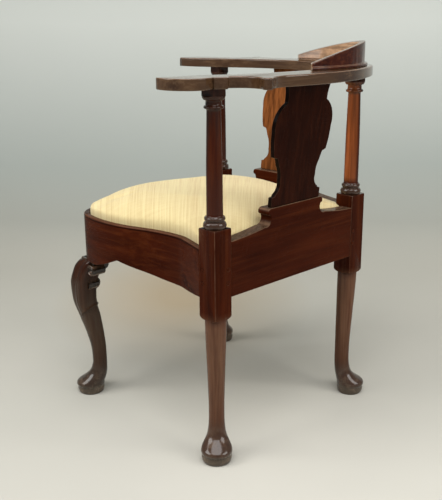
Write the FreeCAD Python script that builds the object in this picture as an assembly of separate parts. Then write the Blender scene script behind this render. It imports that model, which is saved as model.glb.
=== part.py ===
import FreeCAD, Part
import math
import os

# Corner chair with a serpentine front, three turned posts, a cabriole front leg,
# two vase-shaped splats, a horseshoe arm with a raised crest, and a drop-in seat.
# Millimetres. +Z is up, the front corner of the seat points to -Y, the back post
# stands at +Y and the sitter's right and left are told from in front: right is +X.
# The plan is a square set on its corner. Each side is drawn in its own frame, with
# X along the side and Y outward, and then turned into place.

V = FreeCAD.Vector
ORIGIN = V(0, 0, 0)
UP = V(0, 0, 1)
DIAGONAL = math.sqrt(2)

# Frame
POST_REACH = 280.0          # from the middle of the seat to each post's axis
BLOCK_SIDE = 42.0           # square block of a post, faces along the rails
BLOCK_BOTTOM = 286.0
BLOCK_TOP = 458.0
BLOCK_SHOULDER = 9.0        # height of the turned shoulder under the block
RAIL_BOTTOM = 327.0
LEDGE_TOP = 405.0           # ledge that the drop-in seat rests on

# Turned columns
ARM_UNDER = 703.0
COLUMN_FOOT_RADIUS = 15.0
COLUMN_TOP_RADIUS = 12.6
ABACUS_SIDE = 30.0
ABACUS_HEIGHT = 13.0
COLUMN_TENON_RADIUS = 9.0
COLUMN_TENON = 14.0

# Turned legs with pad feet
LEG_TOP_RADIUS = 20.6
LEG_QUIRK = 0.7             # step between the block's shoulder and the leg
ANKLE_RADIUS = 14.5
ANKLE_HEIGHT = 84.0
PAD_RADIUS = 28.0
PAD_OFFSET = 16.5
PAD_HEIGHT = 14.0
PAD_SPREAD = 1.6            # how much further the toe reaches than the sides
SOLE_RADIUS = 21.0
SOLE_HEIGHT = 6.0

# Cabriole front leg
KNEE_TOP = RAIL_BOTTOM - 8.0
KNEE_REACH = POST_REACH + 45.0         # from the middle of the seat to the front of the knee
KNEE_HEIGHT = 258.0
KNEE_DEPTH = 57.0
FRONT_ANKLE_RADIUS = 16.0
FRONT_ANKLE_REACH = POST_REACH - 9.5
FRONT_PAD_REACH = POST_REACH + 14.5
FRONT_PAD_RADIUS = 31.0

# Scroll brackets beside the knee
EAR_THICKNESS = 24.0
EAR_PROUD = 17.01           # the bracket's face, out from the posts' axis line
EAR_UPPER_ROLL = 16.0
EAR_LOWER_ROLL = 9.5
EAR_REACH = 20.0            # from the rail's shoulder to the end of the upper roll
EAR_WAIST = 21.0            # from the end of the upper roll back to the waist
EAR_LOWER_STEP = 16.0       # from the end of the upper roll back to the lower roll

# Serpentine front rails
FRONT_REACH = POST_REACH + 6.0
BULGE_ALONG = POST_REACH * 0.375
BULGE_OUT = 30.0            # proud of the line between the posts' axes
HOLLOW_ALONG = -POST_REACH * 0.3143
HOLLOW_OUT = -3.7
FLARE_RADIUS = 70.0
FRONT_RAIL_TOP = 421.0
RIM_WIDTH = 12.0
APRON_PEAK_ALONG = 65.0
APRON_PEAK = 345.5
APRON_LOW = 321.0
APRON_END = 38.0            # from the rail's shoulder to the end of the shaped edge

# Back rails with a raised shoe for the splat
BACK_RAIL_TOP = 433.0
SHOE_TOP = 475.0
SHOE_HALF = 73.0
SHOE_NOSE = 6.0
SHOE_FOOT_RISE = 9.0
BACK_RAIL_THICKNESS = 28.0

# Splats
SPLAT_THICKNESS = 10.0
SPLAT_BASE_OUT = 19.0       # outer face at the shoe, out from the posts' axis line
SPLAT_LEAN = 31.0           # how far the top stands out from the base
SPLAT_HOLLOW = 3.0
SPLAT_BASE_HALF = 70.0
SPLAT_WAIST_HALF = 51.0
SPLAT_LOBE_HALF = 80.0
SPLAT_NECK_HALF = 55.5
SPLAT_TOP_HALF = 61.5
SPLAT_TENON = 8.0
SPLAT_DRAWN = 228.0         # height that the levels of the splat's outline were drawn for

# Horseshoe arms and crest
ARM_THICKNESS = 20.0
ARM_SWEEP = POST_REACH + 120.0         # radius of each arm's outer edge
ARM_CENTRE = 76.0           # how far that arc's centre lies back past the middle
ARM_BACK_ROUND = 120.0      # radius that joins the two outer edges at the back
ARM_WIDTH = 68.0
ARM_EDGE_ROUND = 3.0
ARM_LOBE_REACH = POST_REACH + 43.0
ARM_BULGE_REACH = POST_REACH + 56.0
ARM_TIP_REACH = POST_REACH + 24.0
ARM_TIP_FRONT = 95.0
ARM_PAD_BACK = 25.0         # back end of the flat over the side post
ARM_LEAVE = 130.0           # where the outer edge leaves its long arc for the back lobe
ARM_BULGE_Y = 46.0          # how far forward of the side post the front lobe stands out most
ARM_ROUND_LIMIT = POST_REACH + 10.0    # the top edge stays sharp further out than this, beside the flat
CREST_SWEEP = POST_REACH - 50.0        # radius of each half of the crest's back face
CREST_CENTRE_X = 40.0       # how far that arc's centre lies past the middle plane
CREST_CENTRE_Y = 74.0
CREST_BACK_ROUND = 120.0
CREST_FLANGE_PROUD = 6.0
CREST_FLANGE_HEIGHT = 5.5
CREST_BASE_THICKNESS = 24.0
CREST_TOP_THICKNESS = 10.0
CREST_END_Y = POST_REACH - 104.0
CREST_HEIGHT = 51.0
CREST_BOW = 2.4             # rise of the top's curve over a straight slope
CREST_END_HEIGHT = 12.5
SCREW_BACK_Y = POST_REACH - 8.0
SCREW_FRONT_Y = POST_REACH - 44.0
SCREW_SHANK_RADIUS = 2.2
SCREW_HEAD_RADIUS = 4.2
SCREW_INTO_CREST = 22.0

# Joints between the pieces
TENON_LENGTH = 17.0
FRONT_TENON_LENGTH = 14.0
TENON_THICKNESS = 10.0
TENON_FACE = 8.0            # outer cheek, out from the posts' axis line
TENON_LOW = 342.0
TENON_HIGH = 394.0
PEG_RADIUS = 3.0
PEG_LENGTH = 30.0
CLEARANCE = 0.3
CUT_PAST = 50.0             # how far a cutting body runs past what it cuts
GLUE_BLOCK_LEG = 46.0
GLUE_BLOCK_HEIGHT = 44.0

# Drop-in seat
SEAT_GAP = 1.8              # between the seat's cover and the frame round it
SEAT_LIFT = 0.3             # resting gap over the ledge
COVER_THICKNESS = 1.2
COVER_LIP = 20.0
SEAT_FRAME_HEIGHT = 20.0
SEAT_OPENING_HALF = POST_REACH / 2
WEB_WIDTH = 50.0
WEB_THICKNESS = 1.8
WEB_BEARING = 15.0
WEB_PITCH = SEAT_OPENING_HALF * 0.614
HESSIAN_THICKNESS = 0.8
SEAT_SIDE_TOP = 432.0
SEAT_CROWN = 471.0
# Share of the seat's plan and share of the crown's rise, ring by ring
CROWN_RINGS = [(1.0, 0.0), (0.995, 0.15), (0.982, 0.32), (0.958, 0.50), (0.915, 0.67)]
CROWN_RINGS += [(0.84, 0.81), (0.72, 0.91), (0.54, 0.97), (0.30, 1.0)]

AXIS_LINE = POST_REACH / DIAGONAL
BLOCK_HALF = BLOCK_SIDE / 2
BUTT = AXIS_LINE - BLOCK_HALF
OUTER_FACE = AXIS_LINE + BLOCK_HALF
INNER_FACE = BUTT
BACK_INNER_FACE = OUTER_FACE - BACK_RAIL_THICKNESS
ARM_TOP = ARM_UNDER + ARM_THICKNESS
ARM_BACK = math.sqrt((ARM_SWEEP - ARM_BACK_ROUND) ** 2 - ARM_CENTRE ** 2) - ARM_CENTRE + ARM_BACK_ROUND
EAR_FACE = AXIS_LINE + EAR_PROUD
FRONT_PAD_EDGE = FRONT_PAD_REACH + FRONT_PAD_RADIUS
BACK_PAD_EDGE = POST_REACH + PAD_OFFSET + PAD_RADIUS + PAD_SPREAD
SEAT_LOW = LEDGE_TOP + SEAT_LIFT
FRAME_LOW = SEAT_LOW + COVER_THICKNESS
FRAME_HIGH = FRAME_LOW + SEAT_FRAME_HEIGHT
WEB_SPAN = SEAT_OPENING_HALF + WEB_BEARING
HESSIAN_LOW = FRAME_HIGH + 2 * WEB_THICKNESS
TURN_RIGHT_FRONT = -135
TURN_RIGHT_BACK = -45


def on_plan(x, y, z=0.0):
    return V(x, y, z)


def on_face(x, z, y=0.0):
    return V(x, y, z)


def edges_through(points, at):
    """Edges from a first point (a, b) on: (a, b) is a line, (a, b, c, d) an arc through (a, b) to (c, d)."""
    edges = []
    last = at(*points[0])
    for step in points[1:]:
        end = at(*step[-2:])
        if len(step) == 4:
            edges.append(Part.Arc(last, at(*step[:2]), end).toShape())
        elif (end - last).Length > 1e-6:
            edges.append(Part.LineSegment(last, end).toShape())
        last = end
    return edges


def face_of(points, at):
    return Part.Face(Part.Wire(edges_through(points + [points[0][-2:]], at)))


def plate(points, z0, z1):
    """Solid with a plan outline, between two heights."""
    face = face_of(points, on_plan)
    face.translate(V(0, 0, z0))
    return face.extrude(V(0, 0, z1 - z0))


def board(points, y0, y1):
    """Solid with an outline seen from the side's outer face, between two depths."""
    face = face_of(points, on_face)
    face.translate(V(0, y0, 0))
    return face.extrude(V(0, y1 - y0, 0))


def beam(points, half_width):
    """Solid with an outline of Y and height, running across both sides."""
    face = face_of(points, lambda y, z: V(-half_width, y, z))
    return face.extrude(V(2 * half_width, 0, 0))


def turned(points):
    """Solid of revolution from an outline of radius and height."""
    return face_of(points, on_face).revolve(ORIGIN, UP, 360)


def box(x0, x1, y0, y1, z0, z1):
    return Part.makeBox(x1 - x0, y1 - y0, z1 - z0, V(x0, y0, z0))


def rod(radius, start, end):
    along = end - start
    return Part.makeCylinder(radius, along.Length, start, along)


def turn(shape, degrees):
    shape = shape.copy()
    shape.rotate(ORIGIN, UP, degrees)
    return shape


def mirrored(shape):
    return shape.mirror(ORIGIN, V(1, 0, 0))


def one(shape):
    """The single solid in a result."""
    solids = shape.Solids
    if len(solids) != 1:
        raise ValueError("expected one solid, got %d" % len(solids))
    return solids[0]


def meet(p, direction, q, other):
    """Where two plan lines cross."""
    cross = direction.x * other.y - direction.y * other.x
    gap = q - p
    reach = (gap.x * other.y - gap.y * other.x) / cross
    return p + direction * reach


# Serpentine line of the front rails, in the frame of the right front side

def front_corner_radius(bulge, bulge_radius):
    """Radius of the front corner that touches the bulge and passes the front point."""
    total = (bulge.x + bulge.y) * DIAGONAL
    square = FRONT_REACH ** 2 - FRONT_REACH * total + bulge.x ** 2 + bulge.y ** 2
    return (square - bulge_radius ** 2) / (2 * FRONT_REACH - total - 2 * bulge_radius)


def on_circle(centre, radius, towards):
    return centre + (towards - centre).normalize() * radius


def front_line(inset=0.0):
    """Plan points of the serpentine line, drawn in from the outer face by inset."""
    half_run = (BULGE_ALONG - HOLLOW_ALONG) / 2
    half_rise = (BULGE_OUT - HOLLOW_OUT) / 2
    sweep = (half_run ** 2 + half_rise ** 2) / (2 * half_rise)
    low = V(HOLLOW_ALONG, AXIS_LINE + HOLLOW_OUT, 0)
    hollow = low + V(0, sweep, 0)
    bulge = V(BULGE_ALONG, AXIS_LINE + BULGE_OUT - sweep, 0)
    corner_radius = front_corner_radius(bulge, sweep)
    reach = (FRONT_REACH - corner_radius) / DIAGONAL
    corner = V(reach, reach, 0)
    flare = low + V(0, FLARE_RADIUS, 0)
    post = V(-BUTT, OUTER_FACE, 0)
    to_flare = flare - post
    heading = math.atan2(to_flare.y, to_flare.x) - math.asin(FLARE_RADIUS / to_flare.Length)
    along = V(math.cos(heading), math.sin(heading), 0)
    inward = V(math.sin(heading), -math.cos(heading), 0)
    start = meet(post + inward * inset, along, V(-BUTT, 0, 0), V(0, 1, 0))
    r_flare = FLARE_RADIUS + inset
    r_hollow = sweep + inset
    r_bulge = sweep - inset
    r_corner = corner_radius - inset
    touch = flare + inward * r_flare
    bottom = flare - V(0, r_flare, 0)
    turn_over = on_circle(hollow, r_hollow, bulge)
    join = on_circle(bulge, r_bulge, corner)
    front = corner + V(1, 1, 0).normalize() * r_corner
    mid_flare = on_circle(flare, r_flare, (touch + bottom) * 0.5)
    mid_hollow = on_circle(hollow, r_hollow, (bottom + turn_over) * 0.5)
    mid_bulge = on_circle(bulge, r_bulge, (turn_over + join) * 0.5)
    mid_corner = on_circle(corner, r_corner, (join + front) * 0.5)
    steps = [start, touch, (mid_flare, bottom), (mid_hollow, turn_over)]
    steps += [(mid_bulge, join), (mid_corner, front)]
    return steps, along


def flat(steps):
    """Plan steps as bare numbers for edges_through."""
    out = []
    for step in steps:
        parts = step if isinstance(step, tuple) else (step,)
        out.append(tuple(value for p in parts for value in (p.x, p.y)))
    return out


def front_plan(inset, inner):
    """Outline between the serpentine line and a straight inner face, up to the middle of the front."""
    steps, _ = front_line(inset)
    return flat(steps) + [(inner, inner), (-BUTT, inner)]


def apron_cutter():
    """Everything under the shaped lower edge of the right front rail."""
    knee_end = BUTT - APRON_END
    below = APRON_LOW - 40
    slope = [(-BUTT, RAIL_BOTTOM)]
    slope += [(-120.0, APRON_LOW + 1.2, -45.0, APRON_LOW + 4.0)]
    slope += [(15.0, APRON_LOW + 14.5, APRON_PEAK_ALONG, APRON_PEAK)]
    slope += [(APRON_PEAK_ALONG + 42, (APRON_PEAK + KNEE_TOP) / 2 - 4, knee_end, KNEE_TOP)]
    slope += [(BUTT + 60, KNEE_TOP), (BUTT + 60, below), (-BUTT, below)]
    return board(slope, INNER_FACE - 10, OUTER_FACE + 60)


def front_body():
    """Right half of the serpentine front, rails and leg stump in one, before it is parted."""
    low = plate(front_plan(0.0, INNER_FACE), KNEE_TOP - 5, LEDGE_TOP)
    rim = plate(front_plan(0.0, INNER_FACE), LEDGE_TOP - 1, FRONT_RAIL_TOP)
    steps, along = front_line(RIM_WIDTH)
    pocket_plan = flat(steps) + [(INNER_FACE - 1, INNER_FACE - 1), (-BUTT - 1, INNER_FACE - 1)]
    reach = steps[0] - along * 2
    pocket_plan = [(reach.x, reach.y)] + pocket_plan
    pocket = plate(pocket_plan, LEDGE_TOP, FRONT_RAIL_TOP + 1)
    body = low.fuse(rim).cut(pocket).removeSplitter()
    return body.cut(apron_cutter())


def tenon(at_butt, inward, length, clearance=0.0):
    """Tongue from a rail's shoulder into a post; inward is the sign of its way along X."""
    x0 = at_butt
    x1 = at_butt + inward * (length + (clearance + 0.2 if clearance else 0.0))
    y1 = AXIS_LINE + TENON_FACE + clearance
    y0 = AXIS_LINE + TENON_FACE - TENON_THICKNESS - clearance
    return box(min(x0, x1), max(x0, x1), y0, y1, TENON_LOW - clearance, TENON_HIGH + clearance)


def peg_places(length):
    """Along and height of the two pegs that hold one tenon."""
    third = (TENON_HIGH - TENON_LOW) / 4
    return [(BUTT + length * 0.45, TENON_LOW + third), (BUTT + length * 0.45, TENON_HIGH - third)]


def pegs(sign, length, face, clearance=0.0):
    """Pegs through one tenon, driven in from the outer face."""
    out = []
    for along, height in peg_places(length):
        head = V(sign * along, face + clearance, height)
        foot = V(sign * along, face - PEG_LENGTH - clearance, height)
        out.append(rod(PEG_RADIUS + clearance, foot, head))
    return out


def front_rail():
    """Right front rail in its own frame, with its two tenons."""
    rail = front_body().common(box(-BUTT - 1, BUTT, 0, OUTER_FACE + 60, 0, BLOCK_TOP))
    rail = rail.fuse([tenon(-BUTT, -1, TENON_LENGTH), tenon(BUTT, 1, FRONT_TENON_LENGTH)])
    cuts = pegs(-1, TENON_LENGTH, OUTER_FACE, CLEARANCE) + pegs(1, FRONT_TENON_LENGTH, OUTER_FACE, CLEARANCE)
    return one(rail.cut(cuts).removeSplitter())


def shoe_outline():
    """Outer face of a back rail: level ends, swept feet, quirked noses and the raised shoe."""
    foot = SHOE_HALF + 15
    foot_z = BACK_RAIL_TOP + SHOE_FOOT_RISE
    nose = SHOE_HALF + SHOE_NOSE
    quirk_z = SHOE_TOP - 13
    half = [(BUTT, BACK_RAIL_TOP), (foot + 42, BACK_RAIL_TOP + SHOE_FOOT_RISE * 0.36, foot, foot_z)]
    half += [(SHOE_HALF - 0.5, (foot_z + quirk_z) / 2 - 2, SHOE_HALF + 1, quirk_z), (nose - 1, quirk_z + 1)]
    half += [(nose, SHOE_TOP - 5, SHOE_HALF, SHOE_TOP)]
    other = [(-SHOE_HALF, SHOE_TOP), (-nose, SHOE_TOP - 5, -nose + 1, quirk_z + 1), (-SHOE_HALF - 1, quirk_z)]
    other += [(-SHOE_HALF + 0.5, (foot_z + quirk_z) / 2 - 2, -foot, foot_z)]
    other += [(-foot - 42, BACK_RAIL_TOP + SHOE_FOOT_RISE * 0.36, -BUTT, BACK_RAIL_TOP)]
    return [(-BUTT, RAIL_BOTTOM), (BUTT, RAIL_BOTTOM)] + half + other


def back_rail():
    rail = board(shoe_outline(), BACK_INNER_FACE, OUTER_FACE)
    ledge = box(-BUTT, BUTT, INNER_FACE, BACK_INNER_FACE, RAIL_BOTTOM, LEDGE_TOP)
    tongues = [tenon(-BUTT, -1, TENON_LENGTH), tenon(BUTT, 1, TENON_LENGTH)]
    rail = rail.fuse([ledge] + tongues)
    cuts = pegs(-1, TENON_LENGTH, OUTER_FACE, CLEARANCE) + pegs(1, TENON_LENGTH, OUTER_FACE, CLEARANCE)
    cuts.append(splat_tenon(SHOE_TOP, -1, CLEARANCE))
    return one(rail.cut(cuts).removeSplitter())


# Splats

def splat_slab(thickness, set_in, grow):
    """Curved leaning slab that a splat is sawn from."""
    z0 = SHOE_TOP - 2 * SPLAT_TENON
    z1 = ARM_UNDER + 2 * SPLAT_TENON
    slope = SPLAT_LEAN / (ARM_UNDER - SHOE_TOP)
    base = AXIS_LINE + SPLAT_BASE_OUT - set_in + grow
    foot = base - slope * (SHOE_TOP - z0)
    head = base + SPLAT_LEAN + slope * (z1 - ARM_UNDER)
    middle = (foot + head) / 2 - SPLAT_HOLLOW
    deep = thickness + 2 * grow
    wide = SPLAT_LOBE_HALF + 20
    outline = [(foot, z0), (middle, (z0 + z1) / 2, head, z1), (head - deep, z1)]
    outline += [(middle - deep, (z0 + z1) / 2, foot - deep, z0)]
    return beam(outline, wide)


def splat_tenon(level, way, clearance=0.0):
    """Tongue of a splat beyond its foot or head; way is -1 down into the shoe, 1 up into the arm."""
    half = (SPLAT_BASE_HALF if way < 0 else SPLAT_TOP_HALF) - 6 + clearance
    depth = SPLAT_TENON + (0.2 + clearance if clearance else 0.0)
    z0, z1 = sorted((level, level + way * depth))
    reach = box(-half, half, AXIS_LINE - 40, AXIS_LINE + 120, z0, z1)
    return splat_slab(SPLAT_THICKNESS - 4, 2, clearance).common(reach)


def splat_outline():
    """Vase outline: plinth, waist, shouldered lobe and neck, seen from outside."""
    z = SHOE_TOP
    up = (ARM_UNDER - SHOE_TOP) / SPLAT_DRAWN
    half = [(SPLAT_BASE_HALF, z), (SPLAT_BASE_HALF, z + 19 * up)]
    half += [(SPLAT_BASE_HALF - 8, z + 20.5 * up), (SPLAT_BASE_HALF - 9, z + 24 * up)]
    half += [(SPLAT_WAIST_HALF + 3, z + 30 * up, SPLAT_WAIST_HALF, z + 48 * up)]
    half += [(SPLAT_WAIST_HALF + 0.6, z + 62 * up, SPLAT_WAIST_HALF + 6, z + 76 * up)]
    half += [(SPLAT_WAIST_HALF + 7, z + 78 * up)]
    half += [(SPLAT_WAIST_HALF + 10, z + 86 * up, SPLAT_WAIST_HALF + 13, z + 93 * up)]
    half += [(SPLAT_LOBE_HALF - 6, z + 96 * up)]
    half += [(SPLAT_LOBE_HALF - 0.8, z + 124 * up, SPLAT_LOBE_HALF, z + 142 * up)]
    half += [(SPLAT_LOBE_HALF - 3.5, z + 172 * up, SPLAT_NECK_HALF, z + 194 * up)]
    half += [(SPLAT_NECK_HALF + 0.6, z + 211 * up, SPLAT_TOP_HALF, ARM_UNDER)]
    points = list(half)
    points.append((-SPLAT_TOP_HALF, ARM_UNDER))
    for index in range(len(half) - 1, 0, -1):
        step = half[index]
        start = half[index - 1][-2:]
        middle = (-step[0], step[1]) if len(step) == 4 else ()
        points.append(middle + (-start[0], start[1]))
    return points


def splat():
    blank = board(splat_outline(), AXIS_LINE - 20, AXIS_LINE + 100)
    body = splat_slab(SPLAT_THICKNESS, 0, 0).common(blank)
    return one(body.fuse([splat_tenon(SHOE_TOP, -1), splat_tenon(ARM_UNDER, 1)]))


# Posts

def ring_section(height, centre, toe, heel, half, fullness):
    """Closed smooth section: toe is its outward reach, heel its inward one, half its half width."""
    corner = fullness / DIAGONAL
    middle = (toe - heel) / 2
    points = []
    for step in range(8):
        angle = step * math.pi / 4
        share = 1.0 if step % 2 == 0 else corner * DIAGONAL
        along = middle + math.cos(angle) * share * (toe + heel) / 2
        points.append(V(centre + along, math.sin(angle) * share * half, height))
    curve = Part.BSplineCurve()
    curve.interpolate(Points=points, PeriodicFlag=True)
    return Part.Wire(curve.toShape())


def pad_foot_leg():
    """Round tapering leg with its pad foot set outward along +X."""
    rings = [(BLOCK_BOTTOM + 1, 0.0, LEG_TOP_RADIUS - LEG_QUIRK)]
    rings += [(220.0, -0.8, LEG_TOP_RADIUS - 2.1), (150.0, -1.6, LEG_TOP_RADIUS - 4.2)]
    rings += [(ANKLE_HEIGHT, -2.0, ANKLE_RADIUS), (60.0, -1.0, ANKLE_RADIUS + 0.6)]
    rings += [(43.0, 3.0, ANKLE_RADIUS + 4.2), (29.0, 10.0, PAD_RADIUS - 4.0)]
    rings += [(PAD_HEIGHT, PAD_OFFSET, PAD_RADIUS), (SOLE_HEIGHT, PAD_OFFSET, PAD_RADIUS - 2.5)]
    wires = []
    for height, centre, radius in rings:
        toe = radius + (PAD_SPREAD if height < 40 else 0.0)
        wires.append(ring_section(height, centre, toe, radius, radius, 1.0))
    leg = Part.makeLoft(wires, True, False)
    sole = Part.makeCylinder(SOLE_RADIUS, SOLE_HEIGHT + 1, V(PAD_OFFSET, 0, 0))
    return leg.fuse(sole)


def column():
    """Turned column from the top of the block to the arm, with its tenon."""
    base = BLOCK_TOP
    cap = ARM_UNDER - ABACUS_HEIGHT
    foot = COLUMN_FOOT_RADIUS
    top = COLUMN_TOP_RADIUS
    points = [(0, base - 1), (foot + 4, base - 1), (foot + 4, base)]
    points += [(foot + 6.4, base + 6, foot + 4, base + 12), (foot + 2, base + 12.5), (foot + 2, base + 14.5)]
    points += [(foot + 3, base + 15), (foot + 4.2, base + 18.2, foot + 3, base + 21.5)]
    points += [(foot + 1, base + 22.5)]
    points += [(foot + 0.2, base + 24, foot, base + 27)]
    points += [((foot + top) / 2 + 0.7, (base + cap) / 2, top, cap - 24), (top + 0.6, cap - 21.5)]
    points += [(top + 3.6, cap - 21), (top + 5, cap - 18.5, top + 3.6, cap - 16), (top + 1.8, cap - 15.5)]
    points += [(top + 1.5, cap - 7), (top + 5, cap - 6), (top + 7, cap - 3, top + 8, cap + 0.5)]
    points += [(0, cap + 0.5)]
    shaft = turned(points)
    half = ABACUS_SIDE / 2
    abacus = turn(box(-half, half, -half, half, cap, ARM_UNDER), 45)
    peg = Part.makeCylinder(COLUMN_TENON_RADIUS, COLUMN_TENON + 1, V(0, 0, ARM_UNDER - 1))
    return shaft.fuse([abacus, peg])


def post_block():
    """Square block with a turned shoulder below, faces along the rails."""
    corner = BLOCK_HALF * DIAGONAL
    square = turn(box(-BLOCK_HALF, BLOCK_HALF, -BLOCK_HALF, BLOCK_HALF, BLOCK_BOTTOM, BLOCK_TOP), 45)
    round_low = BLOCK_BOTTOM + BLOCK_SHOULDER
    profile = [(0, BLOCK_BOTTOM), (LEG_TOP_RADIUS, BLOCK_BOTTOM)]
    profile += [(corner - 1.6, BLOCK_BOTTOM + BLOCK_SHOULDER * 0.4, corner + 0.5, round_low)]
    profile += [(corner + 0.5, BLOCK_TOP - 4), (corner - 1.5, BLOCK_TOP), (0, BLOCK_TOP)]
    return square.common(turned(profile))


def post():
    """A whole post about its own axis, foot outward along +X."""
    return one(column().fuse([post_block(), pad_foot_leg()]).removeSplitter())


def mortises_right_post():
    """Hollows in the right post for the front and back rails, in place."""
    front = turn(tenon(-BUTT, -1, TENON_LENGTH, CLEARANCE), TURN_RIGHT_FRONT)
    back = turn(tenon(BUTT, 1, TENON_LENGTH, CLEARANCE), TURN_RIGHT_BACK)
    holes = [turn(peg, TURN_RIGHT_FRONT) for peg in pegs(-1, TENON_LENGTH, OUTER_FACE, CLEARANCE)]
    holes += [turn(peg, TURN_RIGHT_BACK) for peg in pegs(1, TENON_LENGTH, OUTER_FACE, CLEARANCE)]
    return [front, back] + holes


def side_post():
    body = post()
    body.translate(V(POST_REACH, 0, 0))
    return one(body.cut(mortises_right_post()))


def back_post():
    body = turn(post(), 90)
    body.translate(V(0, POST_REACH, 0))
    right = [turn(tenon(-BUTT, -1, TENON_LENGTH, CLEARANCE), TURN_RIGHT_BACK)]
    right += [turn(peg, TURN_RIGHT_BACK) for peg in pegs(-1, TENON_LENGTH, OUTER_FACE, CLEARANCE)]
    return one(body.cut(right + [mirrored(cut) for cut in right]))


# Front leg

def cabriole():
    """Cabriole leg below the rails, bowed outward along +X from the middle of the seat."""
    knee = KNEE_REACH
    heel_top = DIAGONAL * BUTT
    ankle = FRONT_ANKLE_REACH
    thin = FRONT_ANKLE_RADIUS
    pad = FRONT_PAD_REACH
    wide = FRONT_PAD_RADIUS
    spans = [(KNEE_TOP, knee - 36, heel_top, 27.0, 0.84)]
    spans += [(KNEE_TOP - 8, knee - 20.5, heel_top + 1, 29.5, 0.80)]
    shoulder = KNEE_HEIGHT + (KNEE_TOP - 8 - KNEE_HEIGHT) * 0.68
    spans += [(shoulder, knee - 9, heel_top + 5, 30.5, 0.80)]
    spans += [(KNEE_HEIGHT, knee, knee - KNEE_DEPTH, 29.5, 0.82)]
    spans += [(224.0, knee - 2.6, knee - 53.5, 26.5, 0.85), (182.0, knee - 15.5, knee - 61.5, 22.5, 0.89)]
    spans += [(140.0, knee - 29.5, knee - 67.4, 19.0, 0.93)]
    spans += [(100.0, ankle + thin + 0.4, ankle - thin, thin, 0.98)]
    spans += [(74.0, ankle + thin - 0.6, ankle - thin, thin, 1.0)]
    spans += [(56.0, ankle + 19, ankle - 16.6, 17.5, 1.0)]
    spans += [(43.0, ankle + 27.5, ankle - 15, 21.5, 1.0), (30.0, pad + wide - 10, ankle - 11.5, 27.5, 1.0)]
    spans += [(PAD_HEIGHT + 3, pad + wide, pad - wide, wide, 1.0)]
    spans += [(SOLE_HEIGHT, pad + wide - 3, pad - wide + 3, wide - 3, 1.0)]
    wires = []
    for height, front, back, half, fullness in spans:
        middle = (front + back) / 2
        wires.append(ring_section(height, middle, front - middle, middle - back, half, fullness))
    leg = Part.makeLoft(wires, True, False)
    sole = Part.makeCylinder(SOLE_RADIUS + 2, SOLE_HEIGHT + 1, V(pad, 0, 0))
    return turn(leg.fuse(sole), -90)


def stump():
    """Part of the front leg that stands between the rails' ends, flush with them."""
    far = POST_REACH + 20
    half = turn(front_body().common(box(BUTT, far, 0, far, 0, BLOCK_TOP)), TURN_RIGHT_FRONT)
    wedge = box(BUTT, far, BUTT, far, KNEE_TOP, BLOCK_TOP)
    whole = half.fuse(mirrored(half)).common(turn(wedge, -135))
    return whole.removeSplitter()


def front_leg():
    body = cabriole().fuse(stump())
    cuts = [turn(tenon(BUTT, 1, FRONT_TENON_LENGTH, CLEARANCE), TURN_RIGHT_FRONT)]
    cuts += [turn(peg, TURN_RIGHT_FRONT) for peg in pegs(1, FRONT_TENON_LENGTH, OUTER_FACE, CLEARANCE)]
    return one(body.cut(cuts + [mirrored(cut) for cut in cuts]))


def ear():
    """Scroll bracket under the right front rail: a full upper roll, a waist and a small lower roll."""
    leg_side = BUTT + 9
    end = BUTT - EAR_REACH
    waist = end + EAR_WAIST
    low_end = end + EAR_LOWER_STEP
    mid = KNEE_TOP - 1 - EAR_UPPER_ROLL
    waist_z = mid - EAR_UPPER_ROLL - 4
    low = waist_z - 6 - EAR_LOWER_ROLL
    points = [(leg_side, KNEE_TOP), (end + EAR_UPPER_ROLL, KNEE_TOP - 1)]
    points.append((end, mid, end + EAR_UPPER_ROLL, mid - EAR_UPPER_ROLL))
    points += [(waist - 1.5, waist_z + 3.5, waist, waist_z)]
    points += [(waist + 0.6, waist_z - 4, low_end + 4, low + 8.5)]
    points += [(low_end, low, low_end + EAR_LOWER_ROLL, low - EAR_LOWER_ROLL), (leg_side, low - 13)]
    return board(points, EAR_FACE - EAR_THICKNESS, EAR_FACE)


def brackets():
    """Right and left scroll brackets, each scribed to the leg."""
    leg = cabriole()
    right = turn(ear(), TURN_RIGHT_FRONT)
    fitted = []
    for blank in (right, mirrored(right)):
        pieces = blank.cut(leg).Solids
        fitted.append(max(pieces, key=lambda piece: piece.Volume))
    return fitted


# Arms and crest

def sweep_line(centre, sweep, back_round, inset):
    """Right half of a curved back line drawn in by inset: one long arc, rounded over at the middle."""
    lift = centre.y + math.sqrt((sweep - back_round) ** 2 - centre.x ** 2)
    back_centre = V(0, lift, 0)
    back = back_centre + V(0, back_round - inset, 0)
    join = on_circle(centre, sweep - inset, back_centre)
    mid_back = on_circle(back_centre, back_round - inset, (back + join) * 0.5)
    return centre, sweep - inset, back, mid_back, join


def arm_line(inset):
    return sweep_line(V(-ARM_CENTRE, -ARM_CENTRE, 0), ARM_SWEEP, ARM_BACK_ROUND, inset)


def crest_line(inset):
    return sweep_line(V(-CREST_CENTRE_X, CREST_CENTRE_Y, 0), CREST_SWEEP, CREST_BACK_ROUND, inset)


def at_y(line, y):
    """Point of the long arc at a given Y."""
    centre, sweep = line[:2]
    return V(centre.x + math.sqrt(sweep ** 2 - (y - centre.y) ** 2), y, 0)


def midway(line, start, end):
    """Point of the long arc midway between two of its points."""
    return on_circle(line[0], line[1], (start + end) * 0.5)


def smooth_run(start, heading, ends):
    """Arcs through plan points, each one leaving in the direction the last one came in."""
    steps = []
    for x, y in ends:
        chord = V(x, y, 0) - start
        bend = math.atan2(chord.y, chord.x) - math.atan2(heading.y, heading.x)
        bend = (bend + math.pi) % (2 * math.pi) - math.pi
        side = V(chord.y, -chord.x, 0) * (math.tan(bend / 2) / 2)
        middle = start + chord * 0.5 + side
        steps.append((middle.x, middle.y, x, y))
        angle = math.atan2(chord.y, chord.x) + bend
        heading = V(math.cos(angle), math.sin(angle), 0)
        start = V(x, y, 0)
    return steps


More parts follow.
